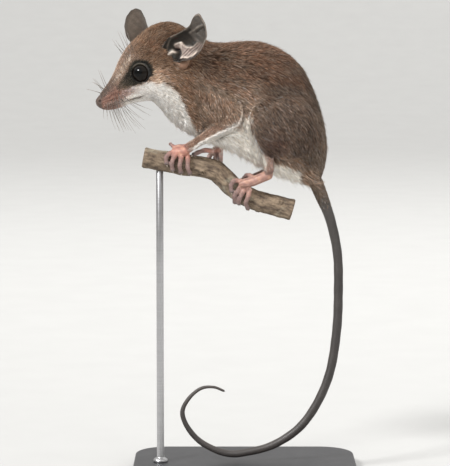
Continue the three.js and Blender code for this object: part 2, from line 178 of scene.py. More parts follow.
# The faces turned to point out: the signed volume under the closed surface says which way.
def outward(places, groups):
    total = 0
    for faces in groups:
        for i in range(1, faces.shape[1] - 1):
            a, b, c = places[faces[:, 0]], places[faces[:, i]], places[faces[:, i + 1]]
            total += dot(a, np.cross(b, c)).sum()
    return groups if total > 0 else [faces[:, ::-1] for faces in groups]


# A stack of rings of points as a closed shape, with an end point in the middle of its first
# and of its last ring.
def closedRings(rings):
    rows, columns = rings.shape[:2]
    places = np.concatenate([rings.reshape(-1, 3), rings[0].mean(0)[None], rings[-1].mean(0)[None]])
    j = np.arange(columns)
    k = (j + 1) % columns
    last = (rows - 1) * columns
    first = np.stack([np.full(columns, rows * columns), k, j], -1)
    final = np.stack([np.full(columns, rows * columns + 1), last + j, last + k], -1)
    return places, outward(places, [gridQuads(rows, columns), np.concatenate([first, final])])


# A number for each ring, spread to its points and followed by those of the two end points.
def spread(values, columns, first, last):
    return np.concatenate([np.repeat(values, columns), [first, last]])


# Several (places, groups of faces) as one.
def together(shapes):
    places, groups, count = [], {}, 0
    for some, parts in shapes:
        for faces in parts:
            groups.setdefault(faces.shape[1], []).append(faces + count)
        places.append(some)
        count += len(some)
    return np.concatenate(places), [np.concatenate(groups[size]) for size in sorted(groups)]


# A new object from points in millimetres and groups of faces of one size each.
def toMesh(name, places, groups):
    mesh = bpy.data.meshes.new(name)
    corners = np.concatenate([faces.ravel() for faces in groups])
    sizes = np.concatenate([np.full(len(faces), faces.shape[1]) for faces in groups])
    mesh.vertices.add(len(places))
    mesh.vertices.foreach_set("co", (np.asarray(places) * mm).astype(np.float32).ravel())
    mesh.loops.add(len(corners))
    mesh.loops.foreach_set("vertex_index", corners.astype(np.int32))
    mesh.polygons.add(len(sizes))
    mesh.polygons.foreach_set("loop_start", (np.cumsum(sizes) - sizes).astype(np.int32))
    mesh.polygons.foreach_set("use_smooth", np.full(len(sizes), True))
    mesh.update(calc_edges=True)
    thing = bpy.data.objects.new(name, mesh)
    bpy.context.scene.collection.objects.link(thing)
    return thing


# Points in millimetres, edges and triangles of a mesh object.
def meshArrays(thing):
    mesh = thing.data
    mesh.calc_loop_triangles()
    places = np.empty(len(mesh.vertices) * 3, np.float32)
    mesh.vertices.foreach_get("co", places)
    edges = np.empty(len(mesh.edges) * 2, np.int32)
    mesh.edges.foreach_get("vertices", edges)
    triangles = np.empty(len(mesh.loop_triangles) * 3, np.int32)
    mesh.loop_triangles.foreach_get("vertices", triangles)
    return places.reshape(-1, 3).astype(float) / mm, edges.reshape(-1, 2), triangles.reshape(-1, 3)


# The object with its modifiers worked into its mesh.
def applied(thing):
    shape = thing.evaluated_get(bpy.context.evaluated_depsgraph_get())
    mesh = bpy.data.meshes.new_from_object(shape)
    thing.modifiers.clear()
    thing.data = mesh
    return thing


# Each point's normal: the sum of its triangles' area normals, made one long.
def pointNormals(places, triangles):
    a, b, c = (places[triangles[:, i]] for i in range(3))
    areas = np.cross(b - a, c - a)
    total = np.stack([
        sum(np.bincount(triangles[:, i], areas[:, axis], len(places)) for i in range(3)) for axis in range(3)
    ], -1)
    return unit(total)


# Each round moves every point a share of the way to the mean of its neighbours.
def relaxed(places, edges, weights, rounds):
    count = len(places)
    one, other = edges[:, 0], edges[:, 1]
    neighbours = np.maximum(np.bincount(one, minlength=count) + np.bincount(other, minlength=count), 1)
    places = places.copy()
    for i in range(rounds):
        total = np.stack([
            np.bincount(one, places[other, axis], count) + np.bincount(other, places[one, axis], count)
            for axis in range(3)
        ], -1)
        places += weights[:, None] * (total / neighbours[:, None] - places)
    return places


# Colours from 0 to 255, one for each point, as a linear colour attribute.
def paint(thing, name, colours):
    mesh = thing.data
    layer = mesh.color_attributes.new(name, "FLOAT_COLOR", "POINT")
    values = np.ones((len(mesh.vertices), 4), np.float32)
    values[:, :3] = linear(colours)
    layer.data.foreach_set("color", values.ravel())


# A number for each point, as an attribute.
def number(thing, name, values):
    layer = thing.data.attributes.new(name, "FLOAT", "POINT")
    layer.data.foreach_set("value", np.asarray(values, np.float32))


# Gives a finished piece its materials and its body, and hides the nodes that it stands for.
def keep(thing, materials, nodes=()):
    for material in materials:
        thing.data.materials.append(material)
    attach(thing, "root")
    if nodes:
        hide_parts(*nodes)


# Materials

# A material with one Principled shader, whose even values are set on its sockets, and its tree.
def newMaterial(name, roughness, sockets):
    material = bpy.data.materials.new(name)
    material.use_nodes = True
    shader = material.node_tree.nodes["Principled BSDF"]
    shader.inputs["Roughness"].default_value = roughness
    for socket, value in sockets.items():
        shader.inputs[socket].default_value = value
    return material, material.node_tree


# A node with its settings and its inputs, each a value or another node's output. n0, n1 and
# so on are inputs by their number.
def place(tree, kind, settings=None, **inputs):
    node = tree.nodes.new(kind)
    for key, value in (settings or {}).items():
        setattr(node, key, value)
    for key, value in inputs.items():
        socket = node.inputs[int(key[1:])] if key[0] == "n" and key[1:].isdigit() else node.inputs[key]
        if isinstance(value, bpy.types.NodeSocket):
            tree.links.new(value, socket)
        else:
            socket.default_value = value
    return node


def objectPlace(tree):
    return place(tree, "ShaderNodeTexCoord").outputs["Object"]


def attributeOf(tree, name, output="Color"):
    return place(tree, "ShaderNodeAttribute", {"attribute_name": name}).outputs[output]


def noise(tree, scale, detail=3, roughness=0.55, where=None):
    where = objectPlace(tree) if where is None else where
    made = place(tree, "ShaderNodeTexNoise", Vector=where, Scale=scale, Detail=detail, Roughness=roughness)
    return made.outputs["Fac"]


# How far a place is from the edge of its cell.
def cellEdge(tree, scale):
    settings = {"feature": "DISTANCE_TO_EDGE"}
    cells = place(tree, "ShaderNodeTexVoronoi", settings, Vector=objectPlace(tree), Scale=scale)
    return cells.outputs["Distance"]


# A number that goes from low to high as the factor goes from start to end.
def between(tree, factor, low, high, start=0.0, end=1.0):
    return place(tree, "ShaderNodeMapRange", n0=factor, n1=start, n2=end, n3=low, n4=high).outputs[0]


def mixed(tree, kind, factor, one, other):
    settings = {"data_type": "RGBA", "blend_type": kind}
    return place(tree, "ShaderNodeMix", settings, n0=factor, n6=one, n7=other).outputs[2]


def calculated(tree, operation, one, other=0.0):
    return place(tree, "ShaderNodeMath", {"operation": operation}, n0=one, n1=other).outputs[0]


# The colour multiplied by a grey that runs from low to high with the factor.
def shaded(tree, colour, factor, low, high):
    grey = between(tree, factor, low, high, 0.3, 0.7)
    triple = place(tree, "ShaderNodeCombineColor", n0=grey, n1=grey, n2=grey).outputs[0]
    return mixed(tree, "MULTIPLY", 1.0, colour, triple)


# The colour shaded by noises, each (scale, detail, lowest grey, highest grey).
def mottled(tree, colour, mottles):
    for scale, detail, low, high in mottles:
        colour = shaded(tree, colour, noise(tree, scale, detail), low, high)
    return colour


# Links a colour, a roughness and a height to the shader. Where no number for the roughness is
# worked out, a noise (scale, detail, lowest, highest) gives it. bump is a distance and a strength.
def finished(material, colour, look, rough=None, height=None):
    tree = material.node_tree
    shader = tree.nodes["Principled BSDF"]
    tree.links.new(colour, shader.inputs["Base Color"])
    if "rough" in look:
        scale, detail, low, high = look["rough"]
        rough = between(tree, noise(tree, scale, detail), low, high)
    if rough:
        tree.links.new(rough, shader.inputs["Roughness"])
    if height:
        distance, strength = look["bump"]
        normal = place(tree, "ShaderNodeBump", Height=height, Distance=distance, Strength=strength)
        tree.links.new(normal.outputs["Normal"], shader.inputs["Normal"])
    return material


softSkin = {"Subsurface Weight": 0.05, "Subsurface Scale": 0.001, "Specular IOR Level": 0.25}
# Thin pink skin: the painted colour, blotched by two noises, with fine creases as bump.
bareSkin = {"mottles": [(900, 4, 0.86, 1.12), (5200, 2, 0.9, 1.08)], "rough": (3000, 3, 0.42, 0.62),
            "cells": 2600, "crease": (0.0, 0.18), "grain": (4200, 2), "bump": (0.00006, 0.6),
            "sockets": {**softSkin, "Subsurface Radius": (1.0, 0.35, 0.2)}}


def bareSkinMaterial():
    material, tree = newMaterial("bareSkin", 0.5, bareSkin["sockets"])
    colour = mottled(tree, attributeOf(tree, "skinColour"), bareSkin["mottles"])
    creases = between(tree, cellEdge(tree, bareSkin["cells"]), 0.0, 1.0, *bareSkin["crease"])
    height = calculated(tree, "ADD", creases, noise(tree, *bareSkin["grain"]))
    return finished(material, colour, bareSkin, height=height)


# Bare ear skin: the painted colour with fine veins, which are the thin edges of wide cells.
earSkin = {"mottles": [(1500, 4, 0.86, 1.14)], "rough": (2500, 3, 0.42, 0.6), "cells": 420,
           "vein": (0.0, 0.05), "veinShare": 0.35, "veinColour": (0.45, 0.25, 0.22, 1), "grain": (3800, 3),
           "bump": (0.00008, 0.6), "sockets": {**softSkin, "Subsurface Radius": (1.0, 0.4, 0.25)}}


def earMaterial():
    material, tree = newMaterial("earSkin", 0.5, earSkin["sockets"])
    vein = between(tree, cellEdge(tree, earSkin["cells"]), 1.0, 0.0, *earSkin["vein"])
    colour = mottled(tree, attributeOf(tree, "skinColour"), earSkin["mottles"])
    share = calculated(tree, "MULTIPLY", vein, earSkin["veinShare"])
    colour = mixed(tree, "MULTIPLY", share, colour, earSkin["veinColour"])
    return finished(material, colour, earSkin, height=noise(tree, *earSkin["grain"]))


# Scaly tail skin: rings along it crossed by joints that are set half a scale over on every
# other ring, both worked out from the tail's own length and round, as bump and darker lines.
tailSkin = {"ring": 0.62, "edge": 0.2, "mottles": [(700, 4, 0.84, 1.14)], "lines": (0.72, 1.1),
            "gloss": (0.62, 0.42), "bump": (0.00006, 0.7)}


def tailMaterial():
    material, tree = newMaterial("tailSkin", 0.5, {})
    along = attributeOf(tree, "tailAlong", "Fac")
    turned = attributeOf(tree, "tailRound", "Fac")
    rings = calculated(tree, "DIVIDE", along, tailSkin["ring"])
    odd = calculated(tree, "PINGPONG", calculated(tree, "FLOOR", rings), 1.0)
    turned = calculated(tree, "ADD", turned, calculated(tree, "MULTIPLY", odd, 0.5))
    ring, scale = (calculated(tree, "PINGPONG", calculated(tree, "FRACT", x), 0.5) for x in (rings, turned))
    plate = between(tree, calculated(tree, "MINIMUM", ring, scale), 0.0, 1.0, 0.0, tailSkin["edge"])
    colour = mottled(tree, attributeOf(tree, "skinColour"), tailSkin["mottles"])
    colour = shaded(tree, colour, plate, *tailSkin["lines"])
    return finished(material, colour, tailSkin, between(tree, plate, *tailSkin["gloss"]), plate)


# Hair: the colour painted on each tuft, with a slow and a fine noise over it.
hairLook = {"mottles": [(160, 3, 0.9, 1.1), (2600, 2, 0.88, 1.12)], "rough": (1800, 3, 0.55, 0.75),
            "sockets": {"Specular IOR Level": 0.22}}


def coatMaterial():
    material, tree = newMaterial("coat", 0.62, hairLook["sockets"])
    return finished(material, mottled(tree, attributeOf(tree, "coatColour"), hairLook["mottles"]), hairLook)


# A wet black-brown eye: a faint brown iris round a black pupil, by the angle from its axis.
eyeLook = {"pupil": (0.002, 0.002, 0.002, 1), "iris": (0.005, 0.0035, 0.0025, 1), "irisFrom": (0.5, 0.62),
           "fibres": (2400, 4, 0.7, 1.5), "white": (0.012, 0.008, 0.006, 1), "whiteFrom": (1.0, 1.12),
           "rough": (900, 2, 0.03, 0.07), "sockets": {"IOR": 1.28}}


def eyeMaterial():
    material, tree = newMaterial("eyeWet", 0.04, eyeLook["sockets"])
    off = attributeOf(tree, "eyeOff", "Fac")
    iris = mottled(tree, eyeLook["iris"], [eyeLook["fibres"]])
    colour = mixed(tree, "MIX", between(tree, off, 0.0, 1.0, *eyeLook["irisFrom"]), eyeLook["pupil"], iris)
    share = between(tree, off, 0.0, 0.6, *eyeLook["whiteFrom"])
    return finished(material, mixed(tree, "MIX", share, colour, eyeLook["white"]), eyeLook)


# Pale horn, darker towards the root, and stiff hairs the same way, by a number on each piece.
hornLook = {"root": (112, 92, 82), "tip": (206, 194, 180), "mottles": [(4000, 3, 0.85, 1.1)],
            "rough": (5000, 3, 0.26, 0.42)}
whiskerLook = {"root": (72, 64, 58), "tip": (132, 124, 116), "mottles": [(900, 3, 0.85, 1.15)]}


def taperedMaterial(name, roughness, tipName, look):
    material, tree = newMaterial(name, roughness, {})
    tip = attributeOf(tree, tipName, "Fac")
    colour = mixed(tree, "MIX", tip, shaderColour(*look["root"]), shaderColour(*look["tip"]))
    return finished(material, mottled(tree, colour, look["mottles"]), look)


# Bark and cut wood: a painted number says which. Bark has long cracks from a stretched noise
# and lichen-pale patches; the cut face has rings by the distance from its middle.
barkLook = {"stretch": 0.22, "cracks": (0.9, 6, 0.7), "grain": (3.2, 5, 0.6), "crackEdges": (0.36, 0.62),
            "patches": (130, 4), "patchShare": 0.55, "patchEdges": (0.55, 0.68), "grainGrey": (0.75, 1.15),
            "rings": 9.5, "woodMottles": [(1500, 4, 0.85, 1.1)], "gloss": (0.92, 0.7), "crackHigh": 1.2,
            "grainHigh": 0.5, "bump": (0.0003, 0.8),  # colours: bark's dark and light, lichen, wood's two
            "colours": [(62, 50, 41), (128, 111, 92), (152, 146, 128), (176, 142, 101), (208, 180, 140)]}


def barkMaterial():
    material, tree = newMaterial("bark", 0.8, {})
    names = ("barkAlong", "barkRound", "barkCut", "barkRing")
    along, turned, cut, ring = (attributeOf(tree, name, "Fac") for name in names)
    along = calculated(tree, "MULTIPLY", along, barkLook["stretch"])
    stretched = place(tree, "ShaderNodeCombineXYZ", X=along, Y=turned).outputs[0]
    cracks, grain = (noise(tree, *barkLook[name], where=stretched) for name in ("cracks", "grain"))
    dark, light, lichen, woodDark, woodLight = (shaderColour(*colour) for colour in barkLook["colours"])
    bark = mixed(tree, "MIX", between(tree, cracks, 0.0, 1.0, *barkLook["crackEdges"]), dark, light)
    patches = noise(tree, *barkLook["patches"])
    patches = between(tree, patches, 0.0, barkLook["patchShare"], *barkLook["patchEdges"])
    bark = shaded(tree, mixed(tree, "MIX", patches, bark, lichen), grain, *barkLook["grainGrey"])
    wave = calculated(tree, "SINE", calculated(tree, "MULTIPLY", ring, barkLook["rings"]))
    wood = mixed(tree, "MIX", between(tree, wave, 0.0, 1.0, -1.0, 1.0), woodDark, woodLight)
    wood = mottled(tree, wood, barkLook["woodMottles"])
    height = calculated(tree, "ADD", calculated(tree, "MULTIPLY", cracks, barkLook["crackHigh"]),
                        calculated(tree, "MULTIPLY", grain, barkLook["grainHigh"]))
    return finished(material, mixed(tree, "MIX", cut, bark, wood), barkLook,
                    between(tree, cracks, *barkLook["gloss"]), height)


# Satin black paint with a faint orange-peel bump and fine dust in a noise.
paintLook = {"black": (0.021, 0.021, 0.023, 1), "dust": (0.05, 0.049, 0.047, 1), "dustNoise": (220, 6),
             "dustEdges": (0.5, 0.75), "dustShare": 0.25, "peel": (1400, 2), "rough": (60, 5, 0.36, 0.5),
             "bump": (0.00004, 0.35)}


def paintMaterial():
    material, tree = newMaterial("standPaint", 0.42, {})
    dust = noise(tree, *paintLook["dustNoise"])
    dust = between(tree, dust, 0.0, paintLook["dustShare"], *paintLook["dustEdges"])
    colour = mixed(tree, "MIX", dust, paintLook["black"], paintLook["dust"])
    return finished(material, colour, paintLook, height=noise(tree, *paintLook["peel"]))


# Turned steel: fine lines round the rod, from a noise squeezed along its length.
steelLook = {"squeeze": (40, 40, 2600), "dark": (0.42, 0.42, 0.43, 1), "light": (0.62, 0.62, 0.63, 1),
             "gloss": (0.24, 0.4), "bump": (0.00002, 0.3)}


def steelMaterial():
    material, tree = newMaterial("standSteel", 0.3, {"Metallic": 1.0})
    settings = {"vector_type": "POINT"}
    lines = place(tree, "ShaderNodeMapping", settings, Vector=objectPlace(tree), Scale=steelLook["squeeze"])
    streaks = noise(tree, 1.0, where=lines.outputs[0])
    colour = mixed(tree, "MIX", streaks, steelLook["dark"], steelLook["light"])
    return finished(material, colour, steelLook, between(tree, streaks, *steelLook["gloss"]), streaks)


# The camera stands at the photo's viewpoint: a little above the animal, at its left side.
view = {"target": (-8.2, 0, 100.3), "elevation": 6, "distance": 900, "height": 191.06, "sensor": 36,
        "clip": (0.05, 20)}


def makeCamera():
    camera = bpy.data.objects.new("camera", bpy.data.cameras.new("camera"))
    camera.data.sensor_width = view["sensor"]
    camera.data.lens = view["sensor"] * view["distance"] / view["height"]
    camera.data.clip_start, camera.data.clip_end = view["clip"]
    tilt = math.radians(view["elevation"])
    away = Vector((0, -math.cos(tilt), math.sin(tilt))) * view["distance"] * mm
    camera.location = Vector(view["target"]) * mm + away
    camera.rotation_euler = (-away).to_track_quat("-Z", "Y").to_euler()
    bpy.context.scene.collection.objects.link(camera)
    bpy.context.scene.camera = camera


makeCamera()
bpy.context.scene.view_settings.view_transform = "Standard"


# The forms of the flesh. A form is knots of a middle, a half-height up, a half-width side and a
# pear number, and the depth of coat that lies over its skin. Its points are
# middle + up sin(angle) + side cos(angle) (1 - pear sin(angle)), with up and side cut
# shorter by the coat's depth. s counts the knots along it.
def formPoints(form, s, angle):
    middle, up, side = (spline(form[key], s) for key in ("middle", "up", "side"))
    depth = spline(form["depth"], s)[..., None]
    up = up * (1 - depth / np.linalg.norm(up, axis=-1, keepdims=True))
    side = side * (1 - depth / np.linalg.norm(side, axis=-1, keepdims=True))
    pear = spline(form["pear"], s)
    high, wide = np.sin(angle), np.cos(angle)
    return middle + up * high[..., None] + side * (wide * (1 - pear * high))[..., None]


def lastKnot(form):
    return len(form["middle"]) - 1


# A grid of s, from low to high or over the whole form, and of angle, with the points there.
def formGrid(form, rows, columns, low=0.0, high=None):
    along = np.linspace(low, lastKnot(form) if high is None else high, rows)
    s, angle = np.meshgrid(along, anglesRound(columns, -math.pi), indexing="ij")
    return s, angle, formPoints(form, s, angle)


# How deep the coat lies over each limb's skin, at each of its points
limbDepths = {"upperArm": [1.2, 0.9, 0.6, 0.5], "forearm": [0.5, 0.55, 0.45, 0.25, 0.05, 0],
              "thigh": [1.2, 1.2, 1.2, 1.0, 0.8, 0.5], "shank": [0.6, 0.6, 0.4, 0.1, 0]}


# A limb from points [x, y, z, high, wide]: side is across made square to the way it runs.
def limbForm(points, across, region):
    middle = np.array([p[:3] for p in points], float)
    ahead = np.concatenate([middle[1:], middle[-1:]])
    behind = np.concatenate([middle[:1], middle[:-1]])
    tangent = unit(ahead - behind)
    across = np.asarray(across, float)
    side = unit(across - tangent * (tangent @ across)[:, None])
    up = unit(np.cross(side, tangent))
    high = np.array([p[3] for p in points])[:, None]
    wide = np.array([p[4] if len(p) > 4 else p[3] for p in points])[:, None]
    none = np.zeros(len(points))
    return {"middle": middle, "up": up * high, "side": side * wide, "pear": none,
            "depth": none + limbDepths.get(region, 0), "region": region}


# Head, neck and trunk: back and belly [x, z], middle y, half-width, turn in degrees, pear
bodySections = [
    (-60.2, 155.4, -59.9, 152.9, -9.2, 1.5, 16, 0), (-58.6, 157.6, -57.9, 151.4, -8.8, 2.9, 16, 0.1),
    (-56.6, 160.4, -54.3, 151.1, -8.1, 3.9, 16, 0.15), (-54.6, 163.4, -50.6, 151.9, -7.3, 4.9, 15, 0.2),
    (-52.6, 167.4, -47.0, 153.3, -6.6, 6.2, 15, 0.2), (-50.6, 172.0, -42.6, 154.2, -5.8, 7.8, 14, 0.15),
    (-47.8, 176.6, -37.8, 154.6, -4.9, 9.9, 12, 0.15), (-44.4, 180.2, -34.6, 152.1, -4.0, 11.8, 10, 0.2),
    (-37.6, 185.4, -32.2, 149.0, -2.6, 12.8, 7, 0.2), (-29.7, 186.8, -27.0, 144.0, -1.3, 12.9, 4, 0.15),
    (-22.4, 183.2, -21.3, 140.9, -0.5, 13.4, 2, 0.1), (-15.0, 179.0, -15.4, 137.6, 0, 14.6, 0, 0.1),
    (-7.2, 178.3, -8.3, 135.4, 0, 15.6, 0, 0.1), (1.3, 179.2, -0.6, 131.7, 0, 16.3, 0, 0.08),
    (8.4, 178.2, 5.2, 128.3, 0, 16.4, 0, 0.05), (15.4, 175.0, 10.2, 125.4, 0, 16.0, 0, 0),
    (21.7, 169.8, 15.0, 123.3, 0, 15.2, 0, 0), (26.3, 161.8, 19.8, 121.9, 0, 14.0, 0, 0),
    (29.9, 152.4, 23.6, 120.9, 0, 12.4, 0, 0), (32.4, 142.6, 26.4, 119.9, 0, 10.2, 0, 0),
    (33.1, 134.0, 28.0, 119.5, 0, 7.4, 0, 0), (31.8, 125.6, 29.4, 119.3, 0, 3.4, 0, 0)]
bodyDepths = {"at": [0, 1, 3, 5, 7, 9, 11, 19, 21], "depth": [0, 0.1, 0.25, 0.45, 0.7, 0.9, 1.2, 1.2, 0.8]}


def bodyForm():
    table = np.array(bodySections, float)
    back = table[:, [0, 4, 1]]
    belly = table[:, [2, 4, 3]]
    turn = np.radians(table[:, 6])
    side = np.stack([-np.sin(turn), np.cos(turn), 0 * turn], -1) * table[:, 5:6]
    depth = np.interp(np.arange(len(table)), bodyDepths["at"], bodyDepths["depth"])
    return {"middle": (back + belly) / 2, "up": (back - belly) / 2, "side": side, "pear": table[:, 7],
            "depth": depth, "region": "body"}


# The perch's middle line, and places round it, which the fingers and toes need
perchLine = np.array([
    (-41.5, 0, 131.4), (-25.4, 0, 128.4), (-12.3, 0, 126.0), (0, 0, 115.6), (19.5, 0, 109.8)])
perchEnd = len(perchLine) - 1
perch = {"radius": 4.5, "rows": 300, "columns": 108, "trim": 0.28, "ridges": 0.16, "lumps": 0.22, "rim": 0.35,
         "rimWidth": 0.6, "swell": 0.6, "dent": 0.35}


# The middle line, its direction and the way up from it at t, which counts the knots.
def perchAt(t):
    step = 1e-3
    ahead = spline(perchLine, np.clip(t + step, 0, perchEnd))
    behind = spline(perchLine, np.clip(t - step, 0, perchEnd))
    tangent = unit(ahead - behind)
    return spline(perchLine, t), tangent, np.stack([-tangent[:, 2], 0 * t, tangent[:, 0]], -1)


# The place at x on the middle line, then out by the radius and off, turned from the top.
def aroundPerch(x, degrees, off):
    t = np.linspace(0, perchEnd, 2001)
    at = np.interp(x, perchAt(t)[0][:, 0], t)
    middle, tangent, up = perchAt(np.array([at]))
    angle = math.radians(degrees)
    out = up[0] * math.cos(angle) + np.array([0, -1, 0]) * math.sin(angle)
    return middle[0] + (perch["radius"] + off) * out


# Arms and hands, legs and feet. Free digits are places, the others are stops round the perch:
# x, degrees from its top and, for some, a lift off it.
arms = {
    "left": {
        "upper": [(-17.6, -8.6, 161, 7.4, 5), (-11.7, -11.8, 153.9, 6.8, 5), (-4.9, -13.4, 148, 4.7, 4.3),
                  (-2.2, -13.4, 146.2, 2.2, 2.4)],
        "lower": [(-2.6, -13.6, 148.8, 2.6), (-5.2, -13.4, 147.4, 4.3), (-11.2, -11.2, 143.2, 3.5),
                  (-17.3, -8.2, 139.3, 2.35), (-22.2, -4.9, 136.4, 1.75), (-24, -3.8, 135, 1.75)],
        "palm": [(-21.6, -4.8, 136.6, 1.7, 1.7), (-24.2, -3.7, 134.9, 1.9, 2.6), (-27.4, -2.9, 134.4, 1.9, 3),
                 (-29.6, -2.6, 134.4, 1.3, 2.2)],
        "across": (0, -0.75, -0.6),
        "free": [[(-28, -2.6, 135), (-29.6, -1.6, 136.2), (-30.5, -0.4, 136.9)]],
        "round": [[(-28.8, 25), (-31.3, 48), (-32.5, 70), (-31.8, 93)],
                  [(-28, 30), (-29.4, 60), (-29.8, 90), (-29, 116)],
                  [(-26.3, 32), (-26.6, 62), (-26.5, 94), (-25.6, 121)],
                  [(-24.2, 32), (-23.6, 62), (-23.3, 94), (-22.2, 119)]],
    },
    "right": {
        "upper": [(-17, 8.6, 161, 7.4, 5), (-9, 12, 156.6, 6.6, 5), (-1.4, 13.4, 153.4, 4.7, 4.3),
                  (1.4, 13.4, 152.2, 2.2, 2.4)],
        "lower": [(1, 13.6, 154.2, 2.6), (-0.9, 13.4, 152.4, 4.3), (-4.2, 11.4, 146.4, 3.5),
                  (-7, 8.4, 141.2, 2.35), (-9.2, 5.8, 137.2, 1.75), (-10, 5, 135.8, 1.75)],
        "palm": [(-9.4, 5.6, 137, 1.6, 1.7), (-10.6, 4.2, 135.2, 1.7, 2.2), (-12, 3.2, 133.8, 1.7, 2.6),
                 (-13, 2.8, 133, 1.2, 2)],
        "across": (0.6, -0.7, 0.2),
        "free": [[(-11.7, 2.4, 134), (-11.5, 0.9, 132.9), (-11.3, -0.6, 131.9), (-11.2, -1.8, 131.1)],
                 [(-13, 2.2, 133.8), (-16.4, 0.6, 134.2), (-19.4, -1.4, 133.4), (-21, -2.6, 132.6)]],
        "round": [[(-14.6, 18, 2.9), (-15.6, 50, 0.9), (-15.4, 84), (-14.6, 112)],
                  [(-13.8, 22, 3.3), (-13.6, 54, 1.2), (-13, 88), (-12.2, 120)],
                  [(-13.2, 26, 3.8), (-12, 56, 1.4), (-10.6, 86), (-9.4, 114)]],
    },
}
nearLeg = {
    "upper": [(27.4, -9, 143.6, 6.5, 4), (22.4, -11.6, 144, 11.8, 6.4), (15.6, -13, 144.2, 13.6, 6.8),
              (8.8, -13.6, 145.2, 10.6, 5.8), (4.8, -13.6, 147, 5.6, 4), (2.9, -13.6, 147.8, 2.2, 2)],
    "lower": [(7.4, -13.6, 147, 4), (8, -12.8, 141, 4.4, 3.8), (8.9, -11, 133.8, 2.7), (9.5, -9, 128.4, 1.95),
              (9.8, -8, 125.6, 2)],
    "sole": [(10.9, -7.8, 125, 1.2, 1.4), (9.7, -7.4, 125, 2.1, 1.9), (6.6, -6.4, 123.5, 2.0, 2.1),
             (3, -5.4, 122.0, 2.05, 2.5), (-0.6, -4.7, 121.1, 1.8, 2.9), (-2.2, -4.6, 120.6, 1.2, 2.2)],
}
legDigits = {
    "left": {"free": [[(3.8, -4.2, 122.8), (2, -2.8, 124.1), (0.6, -1.2, 124.1), (-0.3, 0.2, 122.9)]],
             "round": [[(-4, 42), (-6, 62), (-6, 86), (-4.6, 104)],
                       [(-3.7, 44), (-3.3, 80), (-3.0, 112), (-1.8, 137)],
                       [(-2.3, 45), (-1.6, 80), (-1.3, 110), (-0.7, 130)],
                       [(0.2, 48), (0.9, 82), (1.1, 111), (2.6, 135)]]},
    "right": {"free": [[(4, 4, 122.2), (2.4, 3.2, 121.9), (0.8, 3.2, 122.2)]],
              "round": [[(-3.8, 44), (-5.2, 68), (-5, 90), (-3.6, 114)],
                        [(-3.6, 48), (-3.2, 80), (-2.8, 112), (-1.4, 136)],
                        [(-2.2, 49), (-1.4, 80), (-1.0, 112), (-0.2, 133)],
                        [(-0.4, 52), (0.6, 82), (1.2, 111), (2.8, 134)]]},
}
digit = {"root": 1.06, "tip": 0.88, "gap": 0.1, "thumb": 0.78, "joint": 0.07, "pad": 0.14, "padWidth": 0.22,
         "endReach": (0.3, 0.55, 0.72), "endRadius": (1.08, 0.9, 0.55), "clawAt": 0.62}
# The fold of skin under each ear: where it is, and its points [x, y, z, high, wide] from there
lobes = {"at": [(-25.6, -12.9), (-33.0, 9.4)],
         "points": [(-3.0, 0.6, 169.4, 0.6, 0.5), (-1.4, 0, 168.9, 1.5, 1.2), (0.6, 0, 169.3, 1.6, 1.2),
                    (2.6, 0.4, 171.0, 1.1, 0.8), (3.6, 0.8, 172.4, 0.5, 0.4)]}
clawRoots = []  # (tip, direction, size) of each digit that has a claw


# A digit: its radius falls evenly from root to tip, with a swelling at each joint and a
# soft pad at the end.
def digitForm(points, region, share=1, clawed=True):
    points = np.array(points, float)
    last = len(points) - 1
    s = np.linspace(0, last, 4 * last + 1)
    root, tip = digit["root"] * share, digit["tip"] * share
    radius = root + (tip - root) * s / last
    radius = radius * (1 + digit["joint"] * np.cos(fullTurn * s) * (s > 0.5))
    radius = radius * (1 + digit["pad"] * bump(s, last, digit["padWidth"]))
    direction = unit(points[last] - points[last - 1])
    reach = np.array(digit["endReach"])[:, None] * tip * direction
    middle = np.concatenate([spline(points, s), points[last] + reach])
    radius = np.concatenate([radius, tip * np.array(digit["endRadius"])])
    if clawed:
        clawRoots.append((points[last] + direction * digit["clawAt"] * tip, direction, tip))
    return limbForm(np.column_stack([middle, radius]), (1, 0, 0.2), region)


# The digits of a hand or foot. A thumb is thinner, and a first toe has no claw.
def digitForms(side, digits, region):
    hand = region == "hand"
    forms = []
    for i, points in enumerate(digits["free"]):
        thumb = hand and i == 0
        forms.append(digitForm(points, region, digit["thumb"] if thumb else 1, hand or i > 0))
    for stops in digits["round"]:
        off = digit["root"] + digit["gap"]
        places = [aroundPerch(x, side * degrees, off + sum(lift)) for x, degrees, *lift in stops]
        forms.append(digitForm(places, region))
    return forms


# Every form of the flesh but the tail and the ears. A left leg is flipped for the right one.
def allForms():
    sideways = (0, 1, 0)
    forms = [bodyForm()]
    for name, side in (("left", 1), ("right", -1)):
        arm, leg = arms[name], {}
        for key, points in nearLeg.items():
            leg[key] = [(x, side * y, z, *sizes) for x, y, z, *sizes in points]
        forms += [limbForm(arm["upper"], sideways, "upperArm"), limbForm(arm["lower"], sideways, "forearm"),
                  limbForm(arm["palm"], arm["across"], "hand"), *digitForms(side, arm, "hand"),
                  limbForm(leg["upper"], sideways, "thigh"), limbForm(leg["lower"], sideways, "shank"),
                  limbForm(leg["sole"], sideways, "foot"), *digitForms(side, legDigits[name], "foot")]
    for x, y in lobes["at"]:
        points = [(x + dx, y + dy, *rest) for dx, dy, *rest in lobes["points"]]
        forms.append(limbForm(points, sideways, "lobe"))
    return forms
